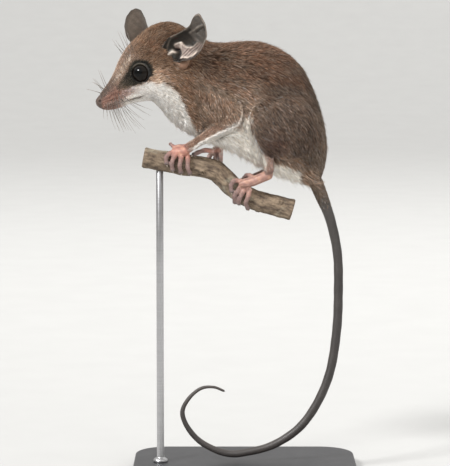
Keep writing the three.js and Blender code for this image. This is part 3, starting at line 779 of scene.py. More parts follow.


# Colours from 0 to 255. Bare skin is given darker than it looks, as it lies smooth in the light.
# Some tones are painted light: the mouth groove's and the pits' dark tones are painted shade, and the
# knuckle, sinew, lid-top, ear rim and ear ridge tones are painted highlights.
tone = {
    "nose": (100, 83, 74), "muzzle": (88, 75, 67), "pink": (140, 104, 90), "pinkStreak": (80, 48, 39),
    "blush": (146, 118, 108), "lip": (168, 146, 134), "mouthGrooveShade": (92, 80, 69), "brow": (180, 162, 144),
    "forehead": (134, 110, 94), "crown": (104, 79, 61), "nape": (97, 74, 59), "back": (101, 76, 61),
    "rumpTop": (73, 61, 53), "rumpEdge": (112, 95, 82), "flank": (174, 152, 133), "russet": (126, 86, 64),
    "ash": (104, 90, 78), "tan": (150, 116, 90), "cheek": (200, 171, 147), "neck": (146, 114, 91),
    "shade": (78, 62, 52), "mask": (26, 24, 19), "maskEnd": (64, 55, 45), "white": (242, 237, 231),
    "cream": (243, 235, 223), "shoulder": (138, 113, 95), "haunch": (98, 81, 70), "haunchDark": (77, 55, 47),
    "fringe": (172, 144, 122), "forearm": (148, 118, 100), "shank": (174, 144, 130), "hand": (158, 112, 99),
    "foot": (148, 114, 103), "sallow": (150, 118, 92), "knuckleHighlight": (206, 172, 160), "sinewHighlight": (200, 164, 150),
    "digit": (118, 99, 95), "digitTip": (88, 80, 78), "tail": (48, 44, 42), "tailBase": (54, 50, 47),
    "tailUnder": (66, 60, 56), "tailTip": (76, 69, 64), "earDark": (24, 20, 15), "earGrey": (63, 58, 53),
    "earPale": (136, 122, 115), "earBowl": (98, 84, 77), "earRidgeHighlight": (196, 183, 171), "earBack": (74, 65, 57),
    "earRim": (106, 97, 88), "pitShade": (20, 13, 11), "lobe": (152, 117, 95), "lidEdge": (9, 7, 6),
    "lidTopHighlight": (104, 96, 84)}
backTones = {"at": [0, 0.9, 2.2, 4.2, 5.6, 7.2, 9.4, 11, 14.5, 18, 20, 21],
             "tone": ["nose", "muzzle", "muzzle", "forehead", "forehead", "crown", "crown", "nape", "back",
                      "rumpTop", "rumpEdge", "rumpEdge"]}
# The border of the pale underside: the height on the round of the body, from -1 to 1, at each s
paleBorder = {
    "at": [0, 2.9, 3.6, 4.3, 4.9, 5.5, 8.0, 9.0, 9.4, 9.8, 10.3, 11.4, 12.2, 12.9, 13.8, 14.9, 16, 17,
           17.5, 18],
    "high": [-0.5, -0.3, -0.02, -0.08, -0.19, -0.28, -0.31, -0.34, -0.5, -0.72, -0.88, -0.84, -0.64, -0.48,
             -0.5, -0.74, -0.66, -0.64, -0.8, -1.3]}
eyes = {"left": np.array([-41.7, -11.7, 166.0]), "right": np.array([-45.2, 0.9, 166.0])}
eyeRadius = 3.75
mouth = {"corner": (-41.0, 157.1), "rise": 17.5, "width": 0.36, "depth": 0.5}
nostril = {"s": 0.55, "degrees": 12, "radius": 0.5, "depth": 0.6}
faceForward, faceUp = unit(np.array([-0.82, -0.19, -0.54])), unit(np.array([-0.55, 0.0, 0.83]))
maskPatch = {"from": (-0.05, 0.75), "to": (10.6, 0.1), "radii": (4.45, 0.6)}
# Folds and edges seen from the side, as [x, z]. The elbow's fold runs down behind it and on
# along the arm, the haunch's front edge from the flank to the knee and its hem under the thigh.
elbowFold = [(-3.4, 157.6), (-2.2, 153.8), (-1.6, 150.6), (-2.2, 147.8), (-3.8, 145.6), (-7.0, 143.8),
             (-11.0, 141.8), (-16.2, 138.9), (-21.1, 135.3)]
haunchFront = [(9.6, 156.4), (5.0, 154.0), (2.6, 151.2), (1.4, 147.6), (1.2, 143.6), (2.2, 139.6),
               (4.4, 134.8), (6.2, 130.4)]
haunchHem = [(9.7, 131.2), (15.7, 129.9), (20.6, 127.4), (24.6, 124.4), (27.0, 121.4)]
jawCrease = [(-34.2, 162.0), (-30.3, 161.5), (-27.9, 160.1), (-26.5, 158.2)]


def sameTone(name, places):
    return np.broadcast_to(np.array(tone[name], float), places.shape)


# Layers (a tone's name, its share) laid over the colours one after another.
def layered(colours, *layers):
    for name, share in layers:
        colours = blend(colours, tone[name], share)
    return colours


# How far a place on the face lies outside the black patch round its eye, a tapered capsule
# in the face's own forward and up directions, how far along it the place is, and both ways.
def maskDistance(places, side):
    centre = np.where(side[:, None] < 0, eyes["left"], eyes["right"])
    q = np.stack([(places - centre) @ faceForward, (places - centre) @ faceUp], -1)
    start, way = np.array(maskPatch["from"]), np.subtract(maskPatch["to"], maskPatch["from"])
    t = np.clip(((q - start) @ way) / (way @ way), 0, 1)
    away = np.linalg.norm(q - start - t[:, None] * way, axis=-1)
    return away - level(t, *maskPatch["radii"]), t, q


# How far a place lies above the plane of the mouth, and how much of the mouth is there.
def mouthGap(places):
    x, z = mouth["corner"]
    line = z + math.tan(math.radians(mouth["rise"])) * (places[:, 0] - x)
    return places[:, 2] - line, ease(places[:, 0], x + 0.8, x - 1.6)


# The middles of the two nostrils.
def nostrils(form):
    angles = np.array([math.radians(degrees) for degrees in (nostril["degrees"], 180 - nostril["degrees"])])
    return formPoints(form, np.full(2, nostril["s"]), angles)


# Pale hair along the elbow's fold and the haunch's front edge, tan between the two.
def folds(colours, places):
    flat = places[:, [0, 2]]
    outer = ease(np.abs(places[:, 1]), 5, 8)
    fine = wavering(places, 2.6, 6)
    front, share = lineDistance(flat, haunchFront)
    front = front + 0.35 * fine
    tan = bump(places[:, 0], 1.2, 3.0) * bump(places[:, 2], 152.0, 3.6) * ease(front, -0.3, 0.5)
    pale = (1 - ease(share, 0.42, 0.3)) * ease(front, -3.0, -1.0) * ease(front, 3.0, 1.5)
    elbow, along = lineDistance(flat, elbowFold)
    lit = ease(along, 0.36, 0.5) * bump(elbow + 0.3 * fine, 0, 0.55 + 0.5 * bump(along, 0.55, 0.2))
    dark = 0.45 * bump(elbow, 1.1, 0.7) * ease(along, 0.02, 0.15) * ease(along, 0.5, 0.3)
    return layered(
        colours,
        ("tan", 0.7 * tan * outer),
        ("cream", 0.85 * np.clip(pale, 0, 1) * ease(share, 0, 0.12) * outer),
        ("shade", dark * outer),
        ("white", 0.85 * lit * outer))


# The brown of head, neck and trunk above the pale underside.
def upperTones(colours, s, high, places, wander, fine):
    mottle = wavering(places, 5, 9)
    haunch = np.hypot(places[:, 0] - 17.0, (places[:, 2] - 145.0) / 0.95)
    colours = layered(
        colours,
        ("flank", 0.8 * ease(s, 9.6, 11.5) * ease(high, 0.55, -0.15) * ease(s, 17.5, 15)),
        ("neck", 0.85 * bump(s, 9.7, 1.0) * ease(high, 0.35, -0.1)),
        ("cheek", 0.85 * bump(s, 7.6, 1.3) * ease(high, 0.22, -0.16)),
        ("shoulder", 0.75 * bump(s, 11.8, 1.1) * ease(high, 0.3, -0.2)),
        ("shade", 0.7 * bump(s, 10.95, 0.5) * bump(high, 0.66, 0.22)),
        ("rumpEdge", 0.7 * ease(s, 16.5, 19)),
        ("haunch", 0.8 * ease(haunch, 18.5, 13.0) * ease(high, 0.9, 0.5)),
        ("russet", 0.3 * ease(mottle, 0.1, 1.0) * ease(s, 5, 8) * ease(s, 18, 15)),
        ("ash", 0.4 * ease(mottle, -0.1, -1.0) * ease(s, 8, 10)))
    return colours * (1 + 0.06 * wander + 0.05 * fine)[:, None]


# The black patch round each eye with its striped brow, and painted shade along the lines of mouth and jaw.
def faceTones(colours, s, high, side, places, fine):
    onFace = (s > 1.5) & (s < 8.5)
    far, t, q = maskDistance(places, side)
    stripe = bump(far, 2.3, 1.2) * ease(q[:, 1], 1.2, 3.0) * ease(q[:, 0], -2.5, 1.0) * ease(q[:, 0], 13, 8)
    ribs = 0.7 + 0.3 * np.sin(fullTurn * (q[:, 0] + 0.3 * fine) / 1.35)
    colours = blend(colours, tone["brow"], 0.95 * stripe * ribs * onFace)
    edge = np.where(q[:, 1] > 1, 0.6, 0.4) + 0.7 * t
    dark = (1 - ease(far + 0.2 * fine, -0.5 * edge, edge)) * (1 - 0.25 * ease(t, 0.6, 1.0))
    patch = blend(sameTone("mask", places), tone["maskEnd"], ease(t, 0.4, 0.95))
    colours = blend(colours, patch, dark * onFace)
    gap, there = mouthGap(places)
    groove = bump(gap, -0.1, 0.42) * there * (s < 6.4) * ease(s, 1.0, 1.6) * ease(high, 0.1, -0.2)
    groove = groove * (0.15 + 0.85 * ease(s, 2.6, 4.2))
    bars = 0.5 + 0.5 * np.sin(fullTurn * (places[:, 0] + 0.3 * gap + 0.15 * fine) / 0.95)
    upperLip = bump(gap, 1.0, 0.75) * ease(s, 1.0, 1.5) * ease(s, 4.6, 3.4) * ease(high, 0.05, -0.25)
    jaw, along = lineDistance(places[:, [0, 2]], jawCrease)
    # Painted shade along the mouth's groove and the jaw's crease.
    return layered(
        colours,
        ("lip", 0.75 * upperLip * (1 - 0.7 * bars ** 2)),
        ("mouthGrooveShade", 0.75 * groove),
        ("shade", 0.6 * bump(jaw, 0, 0.5) * ease(along, 0, 0.3) * ease(along, 1, 0.8)))


# The markings of head, neck and trunk, the same on both sides: at section s, at an angle whose
# sine is the height on the round of the body.
def bodyTones(s, angle, places):
    high, side = np.sin(angle), np.sign(np.cos(angle) + 1e-9)
    knots = np.array([tone[name] for name in backTones["tone"]], float)
    colours = np.stack([np.interp(s, backTones["at"], knots[:, i]) for i in range(3)], -1)
    wander, fine = wavering(places, 9, 3), wavering(places, 3.2, 4)
    colours = upperTones(colours, s, high, places, wander, fine)
    pink = ease(s + 0.6 * high + 0.25 * wander, 4.3, 3.0) * ease(s, 0.5, 1.1)
    streaks = 0.5 + 0.5 * np.sin(fullTurn * (high * 3.4 + 0.35 * s + 0.25 * fine))
    streaked = 0.8 * streaks ** 3 * bump(high, 0.0, 0.5) * bump(s, 2.1, 1.2)
    muzzle = blend(sameTone("pink", places), tone["pinkStreak"], streaked)
    colours = blend(colours, muzzle, pink * (0.12 + 0.83 * ease(high, 0.7, 0.2)))
    border = np.interp(s, paleBorder["at"], paleBorder["high"]) + 0.035 * wander + 0.02 * fine
    pale = ease(high - border, 0.07, -0.07)
    hem = lineDistance(places[:, [0, 2]], haunchHem)[0]
    under = ease(hem + 0.35 * fine, -0.5, 0.5) * ease(places[:, 0], 9.5, 12.0)
    pale = pale * (1 - under * ease(np.abs(places[:, 1]), 0.5, 3.5))
    fringe = 0.7 * ease(hem + 1.2 * fine, 6.5, 0.4) * ease(places[:, 0], 11, 15) * ease(high, 0.3, -0.1)
    colours = blend(colours, tone["fringe"], fringe)
    white = layered(
        sameTone("white", places),
        ("cream", np.clip(0.25 + 0.5 * ease(s, 9, 13) + 0.25 * wander, 0, 1)),
        ("blush", 0.9 * ease(s, 5.6, 3.7) * ease(high, -0.62, -0.4)))
    white = white * (1 - 0.09 * ease(s, 11, 9))[:, None]
    colours = blend(colours, white, pale * ease(s, 2.2, 3.8))
    colours = blend(colours, tone["blush"], 0.85 * (ease(high, -0.55, -0.8) * ease(s, 3.6, 0.8)))
    colours = folds(faceTones(colours, s, high, side, places, fine), places)
    return blend(colours, tone["nose"], 0.8 * ease(s + 0.16 * fine, 1.2, 0.45))


# The tones of the trunk's form under each place, and how far under it that form lies.
def bodyNearest(places):
    found = [trunkTree.find(p) for p in places.tolist()]
    nearest = trunkSamples[[f[1] for f in found]]
    return bodyTones(nearest[:, 4], nearest[:, 5], places), np.array([f[2] for f in found])


# The markings of the limbs. share runs from 0 at the trunk to 1 at the end of the form.
def limbTones(region, share, angle, places):
    high = np.sin(angle)
    inner = np.cos(angle) * np.where(places[:, 1] < 0, 1, -1)
    wander = wavering(places, 6, 5)
    flat = places[:, [0, 2]]
    if region == "upperArm":
        colours = blend(sameTone("shoulder", places), tone["forearm"], ease(share, 0.5, 1))
    elif region == "forearm":
        colours = layered(
            sameTone("forearm", places),
            ("cream", 0.95 * ease(high + 0.15 * wander, -0.15, -0.5)),
            ("cream", 0.7 * ease(inner, 0.5, 0.9) + 0.35 * ease(high, 0.7, 0.95)),
            ("hand", 0.9 * ease(share, 0.72, 0.88)))
    elif region == "thigh":
        streak = np.sin(fullTurn * ((flat @ np.array([0.7, 0.71])) / 1.7 + 0.6 * wander))
        dark = bump(np.hypot(flat[:, 0] - 11.5, flat[:, 1] - 136.8), 0, 5.2)
        hem = lineDistance(flat, haunchHem)[0] + 1.2 * wavering(places, 3, 18)
        colours = layered(
            sameTone("haunch", places) * (1 + 0.17 * streak * ease(share, 0.9, 0.5))[:, None],
            ("haunchDark", 0.75 * dark),
            ("fringe", 0.75 * ease(hem, 5.5, 0.2) * ease(places[:, 0], 11, 15)))
    elif region == "shank":
        colours = layered(
            sameTone("haunch", places),
            ("shank", ease(share, 0.1, 0.4)),
            ("cream", 0.75 * bump(high, 0.72, 0.25) * ease(share, 0.1, 0.25)),
            ("foot", 0.8 * ease(share, 0.7, 0.9)))
    else:
        colours = sameTone(region, places)
    colours = colours * (1 + 0.05 * wander)[:, None]
    if region in ("upperArm", "thigh"):
        trunk, off = bodyNearest(places)
        colours = blend(colours, trunk, ease(off, 3.2, 0.4))
    return colours if region == "lobe" else folds(colours, places)


# Bare hands and feet: pink with painted highlights on the sinews, the knuckles and the tops of the digits,
# painted shade in the digits' creases, and greyer along the digits to dark tips.
def handTones(region, share, onDigit, angle, places):
    blotch = wavering(places, 2.2, 12)
    sinews = ease(np.cos(7 * angle + 0.5 * blotch), 0.2, 1.0) * ease(share, 0.2, 0.5) * (1 - onDigit)
    colours = layered(
        sameTone(region, places),
        ("sallow", (0.35 * ease(blotch, 0.0, 0.8)) * (1 - onDigit)),
        ("knuckleHighlight", 0.5 * bump(share, 0.04, 0.07) * onDigit),
        ("sinewHighlight", 0.4 * sinews),
        ("digit", onDigit * 0.85 * ease(share, 0.08, 0.5)),
        ("digitTip", onDigit * 0.75 * ease(share, 0.62, 0.88)))
    # Painted highlight along the top of each digit.
    colours = colours * (1 + 0.12 * bump(np.sin(angle), 1, 0.6) * onDigit + 0.07 * blotch)[:, None]
    # Painted shade in the digits' creases.
    creases = np.sin(fullTurn * share * 9) ** 8
    return colours * (1 - 0.1 * creases * onDigit * ease(share, 0.1, 0.3))[:, None]


# The skin: the forms joined by a fine voxel remesh, evened where they meet, thinned where the
# coat hides it, with lids, mouth and nostrils worked into the face
skin = {"voxel": 0.28, "coarse": 0.12, "rounds": 26, "evening": 16, "bodyGrid": (200, 120), "limbColumns": 40,
        "bodySamples": (360, 150), "limbSamples": 36, "fewSamples": 3, "faceEnd": 6.6}


def rawSkin(forms):
    shapes = []
    for form in forms:
        limbGrid = (max(24, 8 * len(form["middle"])), skin["limbColumns"])
        rows, columns = skin["bodyGrid"] if form["region"] == "body" else limbGrid
        shapes.append(closedRings(formGrid(form, rows, columns)[2]))
    thing = toMesh("skin", *together(shapes))
    remesh = thing.modifiers.new("remesh", "REMESH")
    remesh.mode = "VOXEL"
    remesh.voxel_size = skin["voxel"] * mm
    return applied(thing)


# A dense set of points on all the forms, with each one's form, s and angle.
def formSamples(forms):
    found = []
    for i, form in enumerate(forms):
        limbGrid = (12 * lastKnot(form) + 1, skin["limbSamples"])
        rows, columns = skin["bodySamples"] if form["region"] == "body" else limbGrid
        s, angle, places = formGrid(form, rows, columns)
        found.append(np.column_stack([places.reshape(-1, 3), np.full(s.size, i), s.ravel(), angle.ravel()]))
    return np.concatenate(found)


# For each place, the nearest sample's form, s and angle.
def nearestSamples(samples, places):
    tree = treeOf(samples[:, :3])
    found = samples[[tree.find(p)[1] for p in places.tolist()]]
    return found[:, 3].astype(int), found[:, 4], found[:, 5]


# The whole hide as points and triangles, with the region, form, s and angle under every point.
def makeSkin(forms):
    thing = rawSkin(forms)
    places, edges, triangles = meshArrays(thing)
    samples = formSamples(forms)
    regions = np.array([form["region"] for form in forms])
    which, s, angle = nearestSamples(samples[::skin["fewSamples"]], places)
    body, bare = regions[which] == "body", np.isin(regions[which], ["hand", "foot"])
    firm = np.where(bare, 0.06, np.where(body & (s < 6.9), 0.1 + 0.06 * s, 0.5))
    places = relaxed(places, edges, np.clip(firm, 0.02, 0.5), skin["rounds"])
    thing.data.vertices.foreach_set("co", (places * mm).astype(np.float32).ravel())
    thin = thing.vertex_groups.new(name="thin")
    fine = bare | (body & (s < skin["faceEnd"])) | (regions[which] == "lobe")
    thin.add(np.flatnonzero(~fine).tolist(), 1.0, "REPLACE")
    fewer = thing.modifiers.new("fewer", "DECIMATE")
    fewer.ratio = (fine.mean() + skin["coarse"] * (1 - fine.mean()))
    fewer.vertex_group = "thin"
    applied(thing)
    places, edges, triangles = meshArrays(thing)
    bpy.data.objects.remove(thing)
    which, s, angle = nearestSamples(samples, places)
    soft = np.select([regions[which] == "body", regions[which] == "thigh", regions[which] == "upperArm"],
                     [0.5 * ease(s, 8.6, 10.5), 0.5 * ease(s, 4.8, 3.8), 0.5 * ease(s, 2.6, 1.6)], 0.0)
    places = relaxed(places, edges, soft, skin["evening"])
    which, s, angle = nearestSamples(samples, places)
    return places, triangles, regions[which], which, s, angle


# Moves the skin along its normals: a lid swelling round each eye, the line of the mouth, a pad
# of whisker roots, the folds of elbow and haunch, the nostrils and the grooves round and under
# the nose. It also gives how far each point lies between the lips.
def faceDetail(places, triangles, forms, regions, s, angle):
    normals = pointNormals(places, triangles)
    body = regions == "body"
    high = np.sin(angle)
    push = np.zeros(len(places))
    for centre in eyes.values():
        away = np.linalg.norm(places - centre, axis=-1)
        lid = 0.34 * bump(away, eyeRadius + 0.55, 0.3) - 0.28 * ease(away, eyeRadius + 0.4, eyeRadius)
        lid = lid + 0.14 * bump(away, eyeRadius + 1.45, 0.3) - 0.12 * bump(away, eyeRadius + 1.0, 0.2)
        push += body * lid
    gap, there = mouthGap(places)
    inMouth = body * there * (s < 6.4) * (high < 0.2) * ease(s, 0.7, 1.2)
    parted = 0.45 + 0.55 * ease(s, 2.6, 4.2)
    push -= mouth["depth"] * inMouth * parted * bump(gap, 0, mouth["width"])
    push += 0.22 * inMouth * bump(gap, 0.7, 0.5)
    flat = places[:, [0, 2]]
    outer = ease(np.abs(places[:, 1]), 6, 9) * np.isin(regions, ["body", "upperArm", "thigh"])
    elbow, along = lineDistance(flat, elbowFold[:6])
    push += 0.5 * outer * bump(elbow, 0, 0.7) * ease(along, 0, 0.25) * ease(along, 1, 0.85)
    push += 0.35 * outer * bump(lineDistance(flat, haunchFront)[0], 0.2, 0.8)
    push += 0.35 * body * bump(s, 2.3, 0.9) * bump(np.abs(np.cos(angle)), 1, 0.35) * bump(high, -0.15, 0.4)
    push -= 0.22 * body * bump(s, 0.98, 0.12) * ease(high, -0.8, -0.4)
    for hole in nostrils(forms[0]):
        away = np.linalg.norm(places - hole, axis=-1)
        push -= nostril["depth"] * body * bump(away, 0, nostril["radius"])
        push += 0.14 * body * bump(away, 0.95, 0.25)
    push -= 0.25 * body * bump(np.cos(angle), 0, 0.16) * ease(s, 0.9, 0.4) * ease(high, 0.5, -0.2)
    return places + normals * push[:, None], inMouth * parted ** 2 * bump(gap, 0, mouth["width"])


# One colour for each point of the skin: the markings, with painted shade where hair will cover them. The
# far hand, which stands in shadow, is made lighter.
shadeUnderHair = {"body": (0.62, 0.2), "limb": 0.72}
farHandLift = np.array([0.28, 0.5, 0.58])


def skinTones(forms, places, regions, which, s, angle, lips):
    colours = np.zeros((len(places), 3))
    share = s / np.array([lastKnot(form) for form in forms], float)[which]
    onDigit = np.array([lastKnot(form) > 5 for form in forms])[which].astype(float)
    for region in np.unique(regions):
        here = regions == region
        if region == "body":
            made = bodyTones(s[here], angle[here], places[here])
            low, more = shadeUnderHair["body"]
            bare = np.maximum(ease(s[here], 3.6, 2.4), ease(made.mean(-1), 130, 200))
            made = made * (low + more * bare)[:, None]
        elif region in ("hand", "foot"):
            made = handTones(region, share[here], onDigit[here], angle[here], places[here])
        else:
            made = limbTones(region, share[here], angle[here], places[here]) * shadeUnderHair["limb"]
        colours[here] = made
    farHand = (regions == "hand") * ease(places[:, 1], 0, 3)
    # Painted shade in the gap between the lips.
    colours = blend(colours * (1 + farHand[:, None] * farHandLift), tone["pitShade"], 0.65 * lips)
    # Painted shade in each nostril.
    for hole in nostrils(forms[0]):
        away = np.linalg.norm(places - hole, axis=-1)
        colours = blend(colours, tone["pitShade"], bump(away, 0, nostril["radius"]))
    for centre in eyes.values():
        away = np.linalg.norm(places - centre, axis=-1)
        # A dark edge round each eye, and a painted highlight on the upper rear of its lid.
        upper = ease((places - centre) @ unit(faceUp - 0.7 * faceForward), 0.5, 3.0)
        colours = layered(
            colours,
            ("lidEdge", bump(away, eyeRadius, 0.9)),
            ("lidTopHighlight", 0.85 * upper * bump(away, eyeRadius + 0.5, 0.28)))
    return colours


# Ears: each lies in its own plane, along from its root to its tip and across square to that.
# front and rear are its margins across, at each place along.
ears = {
    "left": {
        "root": (-30.2, -11.8, 170.9), "tip": (-18.4, -16.4, 189.0), "opens": (-0.3, -0.93, 0.1), "cup": 2.6,
        "front": {"along": [-1.5, 0.4, 2.4, 5.3, 8.2, 11, 14.2, 17, 19.6, 21.6, 22.6],
                  "across": [-2.0, -4.3, -5.6, -5.9, -5.0, -3.3, -1.6, -0.9, -1.5, -1.6, -0.4]},
        "rear": {"along": [-1.5, 1.2, 3.4, 5.4, 8, 11, 14.5, 17.3, 19.5, 21.1, 22.2, 22.6],
                 "across": [1.2, 3.2, 4.7, 6.9, 8.6, 9.3, 8.9, 7.9, 6.1, 4.0, 1.7, -0.4]},
        "heart": (11.0, 3.3),
    },
    "right": {
        "root": (-40.3, 4.4, 174.6), "tip": (-45.3, 9.6, 191.6), "opens": (-0.74, 0.67, 0.05), "cup": 2.4,
        "front": {"along": [-1.5, 1.5, 5, 8.5, 12, 15, 17, 18.2, 18.6],
                  "across": [-2.8, -5.0, -6.6, -7.3, -7.1, -6.2, -4.9, -3.3, -1.0]},
        "rear": {"along": [-1.5, 1.5, 5, 8, 11, 13.5, 15.7, 17.4, 18.4, 18.6],
                 "across": [2.6, 4.8, 6.3, 6.8, 6.6, 5.8, 4.4, 2.8, 1.1, -1.0]},
        "heart": (9.6, 0.2),
    },
}
earShape = {"rings": 34, "columns": 116, "thick": 0.62, "rim": 0.2}
# Lines on the ear's inner face: the ridge round the bowl, pale with a painted highlight, the creases above
# it, the ear hole's slit, the lobe before it and the groove inside the front margin, dark with painted shade
conch = {
    "ridge": [(1.2, 3.6), (2.9, 2.8), (4.5, 1.8), (5.4, 0.6), (5.2, -1.0), (6.1, -2.0), (7.0, -1.8),
              (8.0, -1.1), (8.9, -0.2), (8.6, 0.9), (8.5, 2.0), (9.2, 3.6), (10.5, 4.9), (12.6, 5.3),
              (13.9, 6.6), (15.2, 7.8)],
    "shelf": [(3.8, 2.9), (5.0, 4.4), (6.0, 5.8), (7.5, 6.9), (9.0, 7.5), (10.8, 7.7), (13.1, 7.9),
              (15.1, 8.1)],
    "bridge": [(8.8, -0.2), (7.1, 0.4), (6.2, 1.3), (5.3, 2.4), (4.0, 3.2)],
    "slit": [(5.0, -0.8), (5.7, 0.3), (5.4, 1.2), (4.6, 1.9), (2.9, 2.5), (1.2, 3.4)],
    "tragus": [(1.4, -2.1), (2.6, -1.7), (3.9, -1.2), (4.3, -0.4)],
    "hem": [(2.9, 3.3), (4.0, 4.3), (5.3, 6.3), (6.8, 7.6), (8.7, 8.3), (10.2, 8.5)],
    "edge": [(14.0, -2.5), (14.1, 0.6), (13.4, 2.0), (12.8, 3.3), (12.3, 5.6)],
    "groove": [(4.6, -2.6), (5.4, -3.2), (6.8, -3.3), (8.5, -2.8), (10.5, -1.7), (13.3, -0.6), (15.4, 0.1)],
    "frontLine": [(2.6, -3.3), (4.1, -4.0), (6.5, -4.4), (8.4, -4.2), (10.4, -3.0)],
    "frontGroove": [(0.7, -3.9), (2.4, -4.9), (4.1, -5.1), (6.3, -5.2), (7.9, -4.8)],
    "crease": [(14.4, 0.8), (16.4, 1.6), (18.4, 2.2), (19.8, 3.3)],
    "wedge": [(15.9, 2.7), (17.5, 3.1), (19.2, 3.9), (18.8, 5.1)],
}
conchWidths = {"ridge": 0.4, "shelf": 0.42, "bridge": 0.4, "slit": 0.5, "tragus": 0.7, "hem": 0.34,
               "groove": 0.5, "frontLine": 0.34, "frontGroove": 0.4, "crease": 0.36, "wedge": 0.42}
# How high each stands off the face, as far as it shows, and the fold of the ridge
conchLifts = {"shelf": 0.35, "bridge": 0.3, "crease": 0.32, "tragus": 0.9, "frontLine": 0.22,
              "frontGroove": -0.2, "groove": -0.28, "wedge": -0.24, "slit": -0.55, "hem": -0.25}


# The ear's flat points (along, across) as rings from the heart of its inner face out to the
# margin and back to the heart of its outer face, how far out each is from 0 to 1, and its face.
def earGrid(ear):
    front = np.array([ear["front"]["along"], ear["front"]["across"]]).T
    rear = np.array([ear["rear"]["along"], ear["rear"]["across"]]).T
    outline = np.concatenate([front, rear[::-1][1:-1]])
    closed = np.concatenate([outline[-3:], outline, outline[:4]])
    turns = np.linspace(0, len(outline), earShape["columns"], False)
    margin = spline(closed, turns + 3)
    heart = np.array(ear["heart"])
    wave, smallWave = (np.sin(turns * fullTurn * many / len(outline)) for many in (5, 11))
    ripple = 1 + 0.012 * wave + 0.01 * smallWave
    reach = np.sin(np.linspace(0.02, 1, earShape["rings"]) * math.pi / 2) ** 0.9
    reach = np.concatenate([reach, reach[::-1][1:]])
    face = np.concatenate([np.ones(earShape["rings"]), -np.ones(earShape["rings"] - 1)])
    flat = heart + reach[:, None, None] * (margin - heart) * ripple[:, None]
    return flat.reshape(-1, 2), np.repeat(reach, earShape["columns"]), np.repeat(face, earShape["columns"])


# The colours of the inner face, from how near each place is to each line of the conch: painted highlights on
# its raised lines, painted shade in its grooves, slit and hem.
def earInnerTones(points, places, rho, lines, near, fold, bowl, ridges):
    along, across = points.T
    bright = ease(lines["edge"][0], 0.8, -0.8)
    # Painted shade in the sunken groove, front groove and wedge.
    dark = 0.9 * near["groove"] + 0.85 * near["frontGroove"] + 0.75 * near["wedge"]
    inner = layered(
        sameTone("earGrey", places),
        ("earDark", 0.9 * (1 - bright)),
        ("earGrey", 0.5 * bump(np.hypot(along - 10.6, across - 2.6), 0, 1.7)),
        # The lighter rim tone on the raised rim, crease and front line is a painted highlight.
        ("earRim", 0.7 * near["crease"] + 0.85 * bump(rho, 0.965, 0.045) + 0.5 * near["frontLine"]),
        ("earDark", np.clip(dark, 0, 1)))
    grain = np.clip(0.88 - 0.42 * ridges * ease(across, 2.4, 3.4), 0, 1)
    pale = blend(sameTone("earPale", places), tone["earBowl"], 0.8 * ease(along, 8.0, 12.0))
    inner = blend(inner, pale, bowl * grain * ease(along, 15.5, 12.5))
    # Painted highlights on the raised fold, shelf, bridge and tragus.
    white = 0.75 * fold * ease(lines["ridge"][1], 0.97, 0.7) + 0.9 * near["shelf"] * ease(along, 13, 9)
    white = white + 0.7 * near["bridge"] + 0.9 * bump(lines["tragus"][0], 0, 0.75)
    # Painted shade in the ear hole's slit and along the sunken hem.
    return layered(
        inner,
        ("earRidgeHighlight", np.clip(white, 0, 0.95)),
        ("pitShade", np.clip(1.2 * bump(lines["slit"][0], 0, 0.62), 0, 1)),
        ("pitShade", 0.75 * near["hem"]))


